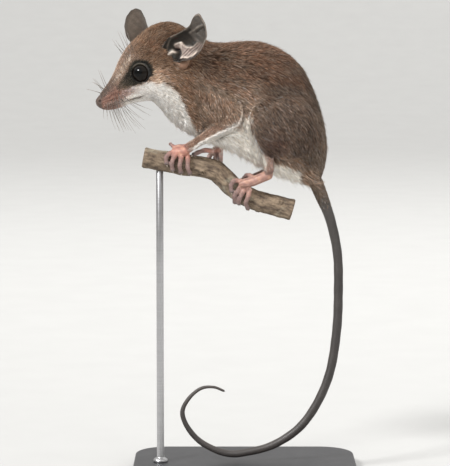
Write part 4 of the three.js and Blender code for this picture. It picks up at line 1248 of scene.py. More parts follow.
# Both faces of an ear share its cup, which rises towards the margins, and the inner one has the
# rim, folds, tragus and ear hole.
def makeEar(ear):
    length = np.array(ear["tip"]) - np.array(ear["root"])
    size = np.linalg.norm(length)
    alongWay = length / size
    opens = np.array(ear["opens"])
    outWay = unit(opens - alongWay * (opens @ alongWay))
    acrossWay = np.cross(alongWay, outWay)
    points, rho, side = earGrid(ear)
    along, across = points.T
    low = np.interp(along, ear["front"]["along"], ear["front"]["across"])
    high = np.interp(along, ear["rear"]["along"], ear["rear"]["across"])
    wide = np.clip((across - (low + high) / 2) / np.maximum((high - low) / 2, 1.2), -1, 1)
    v = np.clip(2 * along / size - 1, -1, 1)
    bend = ear["cup"] * (1.25 * wide ** 2 * (1 - v * v) + 0.25 * v * v - 0.3)
    lines = {name: lineDistance(points, conch[name]) for name in conch}
    near = {name: bump(lines[name][0], 0, width) for name, width in conchWidths.items()}
    bend -= 0.9 * bump(lines["slit"][0], 0, 0.9)
    lift = earShape["rim"] * bump(rho, 0.955, 0.04) - 0.14 * bump(rho, 0.88, 0.035)
    fold = near["ridge"] * ease(lines["ridge"][1], 0.28, 0.4)
    lift += 0.45 * fold + sum(high * near[name] for name, high in conchLifts.items())
    bowl = ease(lines["ridge"][0], -0.3, 0.25) * ease(lines["hem"][0], 0.3, -0.2) * ease(along, 1.0, 3.0)
    ridges = np.sin(fullTurn * (across - 0.25 * along) / 1.15 + 0.8 * np.sin(along * 0.9))
    lift += 0.17 * ridges * (bowl * ease(across, 2.4, 3.4) * ease(lines["ridge"][0], 0.3, 1.0))
    lift += 0.06 * np.sin(fullTurn * along / 1.9 + across * 0.4) * (1 - bowl) * ease(rho, 0.9, 0.6)
    lift = lift * ease(rho, 1.0, 0.93)
    thick = earShape["thick"] / 2 * (1 + 0.5 * ease(along, 6, 0)) * np.sqrt(np.clip(1 - rho ** 9, 0, 1))
    raised = np.where(side > 0, lift * np.sqrt(np.clip(1 - rho ** 12, 0, 1)), 0)
    depth = bend + side * thick + raised
    places = np.array(ear["root"]) + points[:, :1] * alongWay + points[:, 1:] * acrossWay
    places = places + depth[:, None] * outWay
    inner = earInnerTones(points, places, rho, lines, near, fold, bowl, ridges)
    outer = layered(
        sameTone("earBack", places),
        ("earDark", 0.35 * ease(rho, 0.75, 1.0)),
        ("crown", 0.75 * ease(along, 6.5, 2)))
    colours = np.where(side[:, None] > 0, inner, outer) * (1 + 0.07 * wavering(places, 2.4, 8))[:, None]
    shape, groups = closedRings(places.reshape(-1, earShape["columns"], 3))
    return shape, groups, np.concatenate([colours, colours[:1], colours[-1:]])


# The tail hangs in the plane y = 0: [x, z, radius]
tailPoints = np.array([
    (28.4, 122.6, 2.7), (31.6, 114.8, 2.45), (35.2, 105.0, 2.1), (38.0, 91.2, 1.95), (38.4, 75.0, 1.95),
    (37.8, 60.0, 1.95), (35.3, 43.4, 1.9), (30.2, 30.2, 1.85), (22.8, 19.6, 1.8), (12.9, 12.6, 1.7),
    (3.0, 9.4, 1.6), (-7.0, 8.4, 1.5), (-16.9, 12.4, 1.3), (-23.0, 18.4, 1.15), (-25.8, 25.4, 1.0),
    (-23.4, 31.2, 0.85), (-18.4, 35.6, 0.72), (-13.0, 36.3, 0.6), (-8.2, 34.5, 0.5)])
tail = {"rows": 540, "columns": 20, "around": 14, "bone": 7.5, "swell": 0.018, "flat": 0.03}


# Rings along the tail's line, swelling a little at each vertebra, and a round tip.
def makeTail():
    dense = spline(tailPoints, np.linspace(0, len(tailPoints) - 1, 4001))
    path = lengthsAlong(dense[:, :2])
    at = np.linspace(0, path[-1], tail["rows"])
    x, z, radius = (np.interp(at, path, dense[:, i]) for i in range(3))
    middle = np.stack([x, 0 * at, z], -1)
    tangent = unit(np.gradient(middle, axis=0))
    up = np.stack([-tangent[:, 2], 0 * at, tangent[:, 0]], -1)
    end = np.clip((path[-1] - at) / (2 * radius[-1]), 0, 1)
    radius = radius * np.sqrt(np.clip(1 - (1 - end) ** 2, 0.02, 1))
    radius = radius * (1 + tail["swell"] * np.sin(fullTurn * at / tail["bone"]) * ease(at, 8, 30))
    angle = anglesRound(tail["columns"], -math.pi)
    wide = radius[:, None] * (1 + tail["flat"] * np.cos(2 * angle))
    shape, groups = closedRings(ringsRound(middle, wide, np.array([0, 1.0, 0]), up, angle))
    rows, columns = (grid.ravel() for grid in np.meshgrid(at, angle, indexing="ij"))
    places = shape[:-2]
    colours = layered(
        sameTone("tail", places),
        ("tailBase", ease(rows, 45, 5)),
        ("tailUnder", 0.3 * ease(np.sin(columns), -0.3, -0.9)),
        ("tailTip", 0.5 * ease(rows / path[-1], 0.8, 1.0)))
    colours = colours * (1 + 0.07 * wavering(places, 11, 11))[:, None]
    colours = np.concatenate([colours, colours[:1], colours[-1:]])
    turned = np.concatenate([(columns / fullTurn + 0.5) * tail["around"], [0, 0]])
    return shape, groups, colours, spread(at, tail["columns"], 0, path[-1]), turned


forms = allForms()
trunkSamples = formSamples(forms[:1])
trunkTree = treeOf(trunkSamples[:, :3])
hide, hideTriangles, hideRegions, hideForms, hideS, hideAngle = makeSkin(forms)
print("skin joined:", len(hideTriangles), "triangles")
hide, lips = faceDetail(hide, hideTriangles, forms, hideRegions, hideS, hideAngle)
hideColours = skinTones(forms, hide, hideRegions, hideForms, hideS, hideAngle, lips)
earParts = [makeEar(ear) for ear in ears.values()]
tailShape, tailGroups, tailColours, tailAlong, tailRound = makeTail()


# The hide, the ears and the tail as one piece with three materials.
def finishSkin():
    shapes = [(hide, [hideTriangles]), *[part[:2] for part in earParts], (tailShape, tailGroups)]
    places, groups = together(shapes)
    thing = toMesh("skin", places, groups)
    ends = np.cumsum([len(some) for some, parts in shapes])
    paint(thing, "skinColour", np.concatenate([hideColours, *[part[2] for part in earParts], tailColours]))
    number(thing, "tailAlong", np.concatenate([np.zeros(ends[2]), tailAlong]))
    number(thing, "tailRound", np.concatenate([np.zeros(ends[2]), tailRound]))
    flesh = [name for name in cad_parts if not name.startswith(("stand_", "eye_")) and name != "perch"]
    keep(thing, [bareSkinMaterial(), earMaterial(), tailMaterial()], flesh)
    corner = np.concatenate([faces[:, 0] for faces in groups])
    which = np.select([corner < ends[0], corner < ends[2]], [0, 1], 2)
    thing.data.polygons.foreach_set("material_index", which.astype(np.int32))
    print("skin finished:", len(meshArrays(thing)[2]), "triangles")


finishSkin()


# Eyes, seated in the sockets: two balls whose front is a little flatter than a ball's, each with
# the angle from its axis painted on
eyeBall = {"looks": {"left": (-0.42, -0.88, 0.2), "right": (-0.78, 0.58, 0.2)}, "rows": 40, "columns": 56,
           "start": 0.02, "bulge": 0.02, "bulgeWidth": 0.5}


def makeEyes():
    material = eyeMaterial()
    for name, centre in eyes.items():
        outwards = unit(np.array(eyeBall["looks"][name]))
        sideways = unit(np.cross(outwards, (0, 0, 1)))
        up = np.cross(sideways, outwards)
        off = np.linspace(eyeBall["start"], math.pi - eyeBall["start"], eyeBall["rows"])
        radius = eyeRadius * (1 + eyeBall["bulge"] * bump(off, 0, eyeBall["bulgeWidth"]))
        middle = centre + (radius * np.cos(off))[:, None] * outwards
        rings = ringsRound(middle, radius * np.sin(off), sideways, up, anglesRound(eyeBall["columns"]))
        thing = toMesh("eye" + name.capitalize(), *closedRings(rings))
        number(thing, "eyeOff", spread(off, eyeBall["columns"], 0, math.pi))
        keep(thing, [material], ["eye_" + name])


makeEyes()


# Claws on every digit but the first toe
claws = {"length": 1.5, "radius": 0.4, "narrow": 0.75, "sunk": 0.35, "bend": 0.25, "rings": 9, "columns": 8}


# A cone at each digit's tip that thins by the square root of what is left of it and bends
# a quarter of its length down towards the perch.
def makeClaws():
    shapes, tips = [], []
    t = np.linspace(0, 1, claws["rings"])
    for tip, direction, size in clawRoots:
        inwards = unit(np.array([tip[0], 0, np.interp(tip[0], perchLine[:, 0], perchLine[:, 2])]) - tip)
        sideways = unit(np.cross(direction, inwards))
        inner = np.cross(sideways, direction)
        ahead = claws["length"] * t * (1 - 0.15 * t) - claws["sunk"]
        bent = claws["bend"] * claws["length"] * t ** 2
        middle = tip + direction * ahead[:, None] + inner * bent[:, None]
        radius = claws["radius"] * size * np.sqrt(1.02 - t)
        rings = ringsRound(middle, radius, sideways * claws["narrow"], -inner, anglesRound(claws["columns"]))
        shapes.append(closedRings(rings))
        tips.append(spread(t, claws["columns"], 0, 1))
    thing = toMesh("claws", *together(shapes))
    number(thing, "clawTip", np.concatenate(tips))
    keep(thing, [taperedMaterial("claw", 0.32, "clawTip", hornLook)])


makeClaws()
print("eyes and claws made")


# The coat: tufts whose roots are scattered over the forms and set down on the skin
coat = {"overlap": 6.5, "sink": 0.12, "guards": 0.1, "frost": 0.19, "frostTone": np.array([208, 194, 174]),
        "patch": 0.003, "grid": (300, 160)}
tailSides = np.concatenate([tailGroups[0][:, [0, 1, 2]], tailGroups[0][:, [0, 2, 3]]])
ground = np.concatenate([hide, tailShape])
groundTriangles = np.concatenate([hideTriangles, tailSides + len(hide)])
groundTree = BVHTree.FromPolygons(ground.tolist(), groundTriangles.tolist())
groundNormals = pointNormals(ground, groundTriangles)
earTree = treeOf(np.concatenate([part[0] for part in earParts]))


# The nearest place of the skin, its smooth normal and how far off it is.
def onSkin(places):
    found = [groundTree.find_nearest(p) for p in places.tolist()]
    where = np.array([f[0] for f in found])
    face = np.array([f[2] for f in found])
    return where, unit(groundNormals[groundTriangles[face]].sum(1)), np.array([f[3] for f in found])


# Places (s, angle) drawn over a form so that each square millimetre gets perArea(s).
def scattered(form, low, high, perArea):
    rows, columns = coat["grid"]
    s, angle, places = formGrid(form, rows, columns, low, high)
    along = places[1:] - places[:-1]
    around = np.roll(places, -1, 1)[:-1] - places[:-1]
    wanted = np.linalg.norm(np.cross(along, around), axis=-1) * perArea(s[:-1])
    count = int(wanted.sum())
    cell = chance.choice(wanted.size, count, p=(wanted / wanted.sum()).ravel())
    i, j = np.divmod(cell, columns)
    stepS, stepA = (high - low) / (rows - 1), fullTurn / columns
    return s[i, 0] + chance.random(count) * stepS, angle[0, j] + chance.random(count) * stepA


def widthOf(long):
    return 0.1 + 0.048 * long


# How many tufts of a length go on a square millimetre.
def tuftsFor(long):
    return coat["overlap"] / (long * widthOf(long))


# Where a share from 0 to 1 lies on a map, inside its margins.
def mapPlace(share):
    return 0.01 + 0.975 * share


# A tuft's place on its piece's map: along the form from low to high, by the way round it.
def mapSpots(s, low, high, angle):
    return np.stack([mapPlace((s - low) / (high - low)), mapPlace((angle + math.pi) / fullTurn)], -1)


# A tuft is a three-sided blade of seven points: a ring of three at the root, a wider one in the
# middle and a tip. Its patch of the map is a small square: each side of the blade takes a third
# of it, up by length, so each corner of each face has its place in it.
tuftFaces = np.array([(0, 2, 1), (0, 1, 4), (0, 4, 3), (1, 2, 5), (1, 5, 4), (2, 0, 3), (2, 3, 5), (3, 4, 6),
                      (4, 5, 6), (5, 3, 6)])
tuftSpots = np.array([
    (0, 0), (1, 0), (0.5, 0.2), (0, 0), (0.33, 0), (0.33, 0.6), (0, 0), (0.33, 0.6), (0, 0.6), (0.33, 0),
    (0.66, 0), (0.66, 0.6), (0.33, 0), (0.66, 0.6), (0.33, 0.6), (0.66, 0), (1, 0), (1, 0.6), (0.66, 0),
    (1, 0.6), (0.66, 0.6), (0, 0.6), (0.33, 0.6), (0.16, 1), (0.33, 0.6), (0.66, 0.6), (0.5, 1), (0.66, 0.6),
    (1, 0.6), (0.84, 1)])


# The tufts as one mesh, darker at the root by its shade and frosted at some of the tips.
def tuftMesh(name, roots, middles, tips, normals, widths, tones, shade, spots):
    count = len(roots)
    sideways = unit(np.cross(unit(tips - roots), normals)) * (widths / 2)[:, None]
    ridge = normals * (0.42 * widths)[:, None]
    places = np.stack([roots - 0.7 * sideways, roots + 0.7 * sideways, roots + ridge,
                       middles - sideways, middles + sideways, middles + ridge, tips], 1).reshape(-1, 3)
    thing = toMesh(name, places, [(np.arange(count)[:, None, None] * 7 + tuftFaces).reshape(-1, 3)])
    # The sides of each blade's middle are darker than its ridge: painted shade across the blade.
    flank, one = 0.5 + 0.5 * shade, np.ones(count)
    shades = np.stack([shade, shade, shade, flank, flank, 0.98 * one, 1.05 * one], 1)
    painted = tones[:, None, :] * shades[..., None]
    paler = np.maximum(coat["frostTone"] - tones, 0)
    painted[:, 6] += coat["frost"] * 3 * chance.random((count, 1)) ** 2 * paler
    paint(thing, "coatColour", np.clip(painted, 0, 255).reshape(-1, 3))
    layer = thing.data.uv_layers.new(name="OFBake")
    corners = spots[:, None, :] + tuftSpots * coat["patch"]
    layer.data.foreach_set("uv", corners.astype(np.float32).ravel())
    return thing


# The way that hair lies: along the form, pulled by a steady direction.
def lieOf(form, s, angle, pull):
    ahead = formPoints(form, np.minimum(s + 0.05, lastKnot(form)), angle)
    behind = formPoints(form, np.maximum(s - 0.05, 0), angle)
    return unit(unit(ahead - behind) + pull)


# Sets each tuft's root, middle and tip down on the skin, so that it follows the surface,
# and leaves out those that would stand in an eye, an ear or another limb.
clear = {"eye": (0.62, 0.3, 0.15), "ear": (0.7, 0.5, 0.42), "earFrom": 166, "earTo": -12, "buried": 0.75}


def growTufts(name, material, places, flow, long, wide, lift, tones, spots, shade=0.6, sway=1.0):
    start, normals, off = onSkin(places)
    count = len(start)
    wander = 0.2 * wavering(start, 7, 21) + 0.13 * wavering(start, 2.3, 22)
    sway = sway * (wander + chance.normal(0, 0.13, count))
    flow = unit(flow - normals * dot(flow, normals)[:, None])
    flow = unit(flow + np.cross(normals, flow) * sway[:, None])
    guard = chance.random(count) < coat["guards"]
    long = long * chance.uniform(0.72, 1.2, count) * np.where(guard, 1.25, 1)
    lift = lift * chance.uniform(0.55, 1.4, count) * np.where(guard, 1.6, 1)
    wide = wide * np.where(guard, 0.7, 1)
    half, halfNormals, _ = onSkin(start + flow * (0.5 * long)[:, None])
    flow = unit(flow - halfNormals * dot(flow, halfNormals)[:, None])
    full, fullNormals, _ = onSkin(half + flow * (0.5 * long)[:, None])
    roots = start - normals * coat["sink"]
    middles = half + halfNormals * (0.55 * lift)[:, None]
    tips = full + fullNormals * lift[:, None]
    kept = off < clear["buried"]
    for centre in eyes.values():
        for some, room in zip((roots, middles, tips), clear["eye"]):
            kept &= np.linalg.norm(some - centre, axis=-1) > eyeRadius + room
    nearEar = kept & (start[:, 2] > clear["earFrom"]) & (start[:, 0] < clear["earTo"])
    for i in np.flatnonzero(nearEar).tolist():
        blade = zip((roots[i], middles[i], tips[i]), clear["ear"])
        kept[i] = all(earTree.find(p)[2] > room for p, room in blade)
    shade = np.broadcast_to(shade, count)
    parts = (roots, middles, tips, normals, wide, tones, shade, spots)
    roots, middles, tips, normals, wide, tones, shade, spots = (part[kept] for part in parts)
    pale = ease(tones.mean(-1), 140, 200)
    brightness = np.exp(chance.normal(0, 1, len(roots)) * (0.22 - 0.15 * pale))[:, None]
    warmth = (chance.normal(0, 0.04, len(roots)) * (1 - 0.75 * pale))[:, None] * np.array([1, 0, -1])
    cooler = (brightness - 1) * np.array([-0.1, 0, 0.1])
    tones = tones * brightness * (1 + warmth + cooler)
    keep(tuftMesh(name, roots, middles, tips, normals, wide, tones, shade, spots), [material])
    print(name, len(roots), "tufts")


bodyCoat = {  # at each s: hair length, and how high its tip stands off the skin
    "at": [0.9, 2.0, 3.2, 4.5, 6.0, 7.5, 9.0, 10.5, 12, 16, 19, 21],
    "long": [0.5, 0.7, 1.0, 1.35, 1.75, 2.2, 2.7, 3.1, 3.5, 3.7, 3.6, 2.4],
    "lift": [0.07, 0.1, 0.16, 0.26, 0.4, 0.55, 0.7, 0.85, 0.95, 1.0, 0.85, 0.25],
    "parts": [("coatMuzzle", 0.95, 3.6), ("coatFace", 3.6, 5.3), ("coatBrow", 5.3, 6.7),
              ("coatCrown", 6.7, 8.4), ("coatNape", 8.4, 10.6), ("coatShoulder", 10.6, 13.3),
              ("coatBelly", 13.3, 16.4), ("coatRump", 16.4, 20.9)],
}


# The s that lies reach millimetres farther back along the form.
def farther(form, s, angle, reach):
    step = 0.05
    speed = np.linalg.norm(formPoints(form, s + step, angle) - formPoints(form, s, angle), axis=-1) / step
    return np.minimum(s + reach / np.maximum(speed, 0.5), lastKnot(form))


def bodyHairLong(s):
    return np.interp(s, bodyCoat["at"], bodyCoat["long"])


# The tufts to a square millimetre of the body, fewer on the muzzle, where skin shows through.
def bodyTufts(s):
    return coat["overlap"] * (1 - 0.45 * ease(s, 3.2, 1.8)) / (bodyHairLong(s) * widthOf(bodyHairLong(s)))


# The body's coat in eight pieces from nose to rump. Hair clumps and stands up under the belly
# and falls down the flanks, and each tuft takes the marking that lies at its middle.
def growBody(material):
    form = forms[0]
    for name, start, end in bodyCoat["parts"]:
        s, angle = scattered(form, start, end, bodyTufts)
        high = np.sin(angle)
        long = bodyHairLong(s)
        places = formPoints(form, s, angle)
        clump = ease(wavering(places, 2.4, 14), -0.3, 0.8)
        under = ease(high, -0.5, -0.9) * ease(s, 7, 9)
        lift = np.interp(s, bodyCoat["at"], bodyCoat["lift"]) * (1 + (0.5 + 1.0 * clump) * under)
        down = 0.55 * ease(s, 8, 12) * ease(high, -0.9, -0.3) * ease(high, 1.0, 0.6)
        flow = lieOf(form, s, angle, np.stack([0.25 * down, 0 * s, -down], -1))
        seen = farther(form, s, angle, 0.55 * long)
        tones = bodyTones(seen, angle, formPoints(form, seen, angle))
        shade = 0.62 + 0.26 * ease(tones.mean(-1), 120, 190)
        spots = mapSpots(s, start, end, angle)
        growTufts(name, material, places, flow, long, widthOf(long), lift, tones, spots, shade)


# The stretch of each limb form that has hair, the hair's length and lift at its ends and its pull
limbCoats = {
    "upperArm": {"from": 0.1, "to": 2.9, "long": (3.2, 2.2), "lift": (0.8, 0.5), "pull": (-0.1, 0, -0.55)},
    "forearm": {"from": 0.5, "to": 4.2, "long": (2.0, 0.9), "lift": (0.45, 0.1), "pull": (0, 0, 0)},
    "thigh": {"from": 0.1, "to": 4.9, "long": (3.7, 2.8), "lift": (0.95, 0.6), "pull": (2.0, 0, -1.35)},
    "shank": {"from": 0.8, "to": 3.3, "long": (2.0, 0.8), "lift": (0.4, 0.08), "pull": (0, 0, 0)},
}


# A coat piece for a limb form, named for its region and side.
def growLimb(material, form, region, settings):
    low, high = settings["from"], settings["to"]

    def longAt(s):
        return np.interp(s, [low, high], settings["long"])

    s, angle = scattered(form, low, high, lambda s: tuftsFor(longAt(s)))
    long = longAt(s)
    here = formPoints(form, s, angle)
    flow = lieOf(form, s, angle, np.array(settings["pull"], float))
    there = here + 0.55 * long[:, None] * flow
    seen = np.clip(s + 0.3 * long / 4.5 * (region in ("forearm", "shank")), low, high)
    tones = limbTones(region, seen / lastKnot(form), angle, there)
    name = "coat" + region[0].upper() + region[1:] + ("Left" if form["middle"][0][1] < 0 else "Right")
    lift = np.interp(s, [low, high], settings["lift"])
    growTufts(name, material, here, flow, long, widthOf(long), lift, tones, mapSpots(s, low, high, angle))


def growLimbs(material):
    for region, settings in limbCoats.items():
        for form in forms:
            if form["region"] == region:
                growLimb(material, form, region, settings)


# Pale hairs that lie along the elbow's fold and the haunch's front edge: each path's points, how
# many to a millimetre, how far they stray across, their length and lift, and where along the
# path they start and stop. A gather below 1 draws them towards its end.
foldHair = {
    "elbow": {"path": elbowFold, "many": 17, "stray": 0.13, "long": 1.9, "lift": 0.8, "from": 0.03,
              "to": 0.97},
    "elbowSecond": {"path": [(x + 0.9, z - 0.9) for x, z in elbowFold[3:8]], "many": 4, "stray": 0.2,
                    "long": 2.2, "lift": 0.4, "from": 0.05, "to": 0.95},
    "haunch": {"path": haunchFront, "many": 15, "stray": 0.14, "long": 1.9, "lift": 0.8, "from": 0.05,
               "to": 0.93, "gather": 0.7},
    "thigh": {"path": [(x + 1.5, z) for x, z in haunchFront[3:]], "many": 5, "stray": 0.4, "long": 2.4,
              "lift": 0.45, "from": 0.02, "to": 0.98},
    "flank": {"path": [(x - 1.7, z - 1.0) for x, z in haunchFront[2:7]], "many": 5, "stray": 0.5, "long": 2.6,
              "lift": 0.45, "from": 0.02, "to": 0.98},
    "shank": {"path": [(6.3, 132.5), (7.4, 129.6), (8.2, 126.8)], "many": 5, "stray": 0.15, "long": 1.3,
              "lift": 0.12, "from": 0.0, "to": 0.9},
}


# One band's strands on one side, found by looking in from that side at the flank: each has its
# place and flow, its length and lift, and its spot on the map, the share along by the way across.
def foldStrands(band, settings, side):
    path = np.array(settings["path"], float)
    last = len(path) - 1
    count = int(lengthsAlong(path)[-1] * settings["many"])
    share = level(chance.random(count) ** settings.get("gather", 1), settings["from"], settings["to"])
    t = share * last
    ahead = unit(spline(path, np.minimum(t + 0.1, last)) - spline(path, np.maximum(t - 0.1, 0)))
    stray = chance.normal(0, settings["stray"], count)
    flat = spline(path, t) + np.stack([-ahead[:, 1], ahead[:, 0]], -1) * stray[:, None]
    strip = 0.04 + 0.15 * band + 0.07 * (side > 0) + 0.02 * np.clip(stray / settings["stray"], -1, 1)
    strands = []
    for k in range(count):
        spot = groundTree.ray_cast(Vector((flat[k, 0], side * 40, flat[k, 1])), Vector((0, -side, 0)))[0]
        if spot is not None and abs(spot.y) >= 3:
            strands.append((*spot, ahead[k, 0], 0, ahead[k, 1], settings["long"], settings["lift"],
                            mapPlace(share[k]), strip[k]))
    return strands


def growFolds(material):
    strands = []
    for band, settings in enumerate(foldHair.values()):
        for side in (-1, 1):
            strands += foldStrands(band, settings, side)
    places, flow, long, lift, spots = np.split(np.array(strands), [3, 6, 7, 8], axis=1)
    long, lift, share = long[:, 0], lift[:, 0], spots[:, 0]
    tones = layered(
        sameTone("white", places),
        ("fringe", 0.3 * chance.random(len(long)) + 0.55 * ease(share, 0.42, 0.15)),
        ("haunch", 0.6 * ease(share, 0.26, 0.06) * ease(places[:, 0], 0, 2)))
    growTufts("coatFolds", material, places, flow, long, 0.17 + 0.02 * long, lift, tones, spots, 0.8, 0.6)


# Short hair that thins out down the tail's root
tailHair = {"to": 1.6, "long": (2.4, 1.3), "lift": (0.28, 0.1), "mean": 1.9, "fades": (1.55, 0.3)}


def growTailRoot(material):
    form = limbForm([(x, 0, z, radius) for x, z, radius in tailPoints[:4]], (0, 1, 0), "tailRoot")
    end = tailHair["to"]
    s, angle = scattered(form, 0.0, end, lambda s: tuftsFor(tailHair["mean"]) * ease(s, *tailHair["fades"]))
    long = level(s / end, *tailHair["long"])
    lift = level(s / end, *tailHair["lift"])
    places = formPoints(form, s, angle)
    tones = blend(sameTone("rumpEdge", places), tone["earRim"], 0.6 * s / end) * 0.96
    growTufts("coatTailRoot", material, places, lieOf(form, s, angle, 0), long, widthOf(long), lift, tones,
              mapSpots(s, 0, end, angle))


coatHair = coatMaterial()
for grow in (growBody, growLimbs, growFolds, growTailRoot):
    grow(coatHair)


# Whiskers and long hairs, the same on both sides. Each has its root at a section s and an angle
# on the body's form, how far its fall is below backwards in degrees, its length and how far it
# spreads sideways. longer stretches the lengths of its group.
whiskers = {
    "radius": 0.115, "thin": 0.66, "rings": 14, "columns": 6, "sunk": 0.2,
    "longer": {"cheek": 1.12, "snout": 1.3, "brow": 1.1},
    "cheek": [(1.7, -168, 92, 6.2, 1.5), (1.9, -158, 84, 5.0, 1.2), (2.2, -172, 76, 11.5, 3.0),
              (2.4, -160, 72, 11.5, 2.5), (2.6, -176, 70, 12.5, 4.0), (2.7, -164, 72, 10.5, 3.0),
              (2.9, -152, 71, 11.0, 2.5), (3.0, -170, 64, 14.5, 4.5), (3.2, -158, 51, 14.0, 4.0),
              (3.3, -148, 42, 10.5, 3.0), (3.5, -166, 36, 12.5, 5.0), (3.6, -152, 24, 11.0, 3.5),
              (3.1, 178, 58, 15.0, 6.0)],
    "snout": [(1.3, 120, 196, 4.8, 1.0), (1.7, 132, 232, 5.4, 1.5), (2.2, 136, 248, 6.6, 2.0),
              (1.9, 128, 214, 4.6, 1.4)],
    "brow": [(5.5, 126, 236, 8.0, 2.0), (5.9, 122, 246, 8.5, 2.0), (6.2, 124, 254, 7.0, 2.5),
             (5.7, 132, 226, 6.5, 1.6)],
}


# A tube along the curve with one middle point to bend it, thinning evenly to a third.
def hairTube(start, bend, end):
    t = np.linspace(0, 1, whiskers["rings"])
    x = t[:, None]
    middle = (1 - x) ** 2 * start + 2 * x * (1 - x) * bend + x ** 2 * end
    way = unit(np.gradient(middle, axis=0))
    sideways = unit(np.cross(way, np.array([0.3, 0.2, 0.93])))
    radius = whiskers["radius"] * (1 - whiskers["thin"] * t ** 1.3)
    rings = ringsRound(middle, radius, sideways, np.cross(sideways, way), anglesRound(whiskers["columns"]))
    return closedRings(rings), spread(t, whiskers["columns"], 0, 1)


def makeWhiskers():
    shapes, tips = [], []
    for side in (-1, 1):
        for group, longer in whiskers["longer"].items():
            for s, degrees, fall, length, spreads in whiskers[group]:
                length = length * longer
                angle = math.radians(degrees if side < 0 else 180 - degrees)
                root = onSkin(formPoints(forms[0], np.array([s]), np.array([angle])))[0][0]
                drop = math.radians(fall)
                way = np.array([math.cos(drop), 0, -math.sin(drop)]) * length
                out = np.array([0, side * spreads, 0])
                bend = root + 0.5 * way * np.array([0.75, 1, 1.0]) + 0.75 * out
                bend = bend + np.array([-0.06 * length, 0, 0.03 * length])
                shape, values = hairTube(root - unit(way + out) * whiskers["sunk"], bend, root + way + out)
                shapes.append(shape)
                tips.append(values)
    thing = toMesh("whiskers", *together(shapes))
    number(thing, "hairTip", np.concatenate(tips))
    keep(thing, [taperedMaterial("whisker", 0.4, "hairTip", whiskerLook)])


makeWhiskers()
print("whiskers made")


# The perch: rings along its line with ridged bark, knots (t, degrees, size) and two cut ends,
# each of flat rings of wood at shares of its radius, dished a little
knotSpots = [(0.55, 250, 1.6), (1.62, 118, 1.3), (2.55, 292, 1.9), (3.35, 196, 1.4), (3.72, 60, 1.2)]
cutFace = {"shares": np.array([0.93, 0.86, 0.7, 0.5, 0.3, 0.12]),
           "dish": np.array([-0.02, 0.1, 0.12, 0.08, 0.1, 0.06])}


# Radius = the perch's, plus long ridges that wander, plus lumps and knots, drawn in at the
# rim of each cut end.
def barkRadius(t, path, angle, middle, ring):
    radius, grid = perch["radius"], (len(t), len(angle))
    around = [np.tile(way(angle), len(t)) * radius for way in (np.cos, np.sin)]
    squeezed = np.stack([np.repeat(path * 0.16, len(angle)), *around], -1)
    ridges = (wavering(squeezed, 1.5, 31) + 0.6 * wavering(squeezed, 0.8, 32)).reshape(grid)
    lumps = wavering((middle[:, None, :] + ring * radius).reshape(-1, 3), 11, 33).reshape(grid)
    made = radius - perch["trim"] + perch["ridges"] * ridges + perch["lumps"] * lumps
    for at, degrees, size in knotSpots:
        turn = (angle - math.radians(degrees) + math.pi) % fullTurn - math.pi
        off = np.hypot((path - np.interp(at, t, path))[:, None], turn * radius)
        made = made + perch["swell"] * bump(off, size * 0.62, size * 0.3)
        made = made - perch["dent"] * bump(off, 0, size * 0.35)
    edge = np.minimum(path, path[-1] - path)
    return made - perch["rim"] * (1 - ease(edge, 0, perch["rimWidth"]))[:, None]


def makePerch():
    t = np.linspace(0, perchEnd, perch["rows"])
    angle = anglesRound(perch["columns"])
    middle, tangent, up = perchAt(t)
    path = lengthsAlong(middle)
    left = np.array([0, -1.0, 0])
    ring = ringsRound(0 * middle, np.ones(len(t)), up, left, angle)
    rings = middle[:, None, :] + ring * barkRadius(t, path, angle, middle, ring)[..., None]
    shares, dish = cutFace["shares"], cutFace["dish"]
    first, final = (rings[i] + (middle[i] - rings[i]) * (1 - shares)[:, None, None] for i in (0, -1))
    first = first + tangent[0] * dish[:, None, None]
    final = final - tangent[-1] * dish[:, None, None]
    shape, groups = closedRings(np.concatenate([first[::-1], rings, final]))
    thing = toMesh("perchBranch", shape, groups)
    face, bark = np.ones(len(shares)), np.ones(len(t))
    columns = len(angle)
    along = np.concatenate([0 * face, path, path[-1] * face])
    number(thing, "barkAlong", spread(along, columns, 0, path[-1]))
    number(thing, "barkCut", spread(np.concatenate([face, 0 * bark, face]), columns, 1, 1))
    fromMiddle = np.concatenate([shares[::-1], bark, shares]) * perch["radius"]
    number(thing, "barkRing", spread(fromMiddle, columns, 0, 0))
    around = np.tile(2.2 * np.abs(angle - math.pi), len(fromMiddle))
    number(thing, "barkRound", np.concatenate([around, [0, 0]]))
    keep(thing, [barkMaterial()], ["perch"])


makePerch()


# The stand: a flat base with rounded corners and an upright rod under the perch
stand = {"length": 92, "width": 64, "thick": 5, "corner": 14, "edge": 0.8, "rodX": -34.9, "rodRadius": 1.5,
         "collar": 3.0, "collarHigh": 1.8, "rodColumns": 40, "cornerPoints": 14}


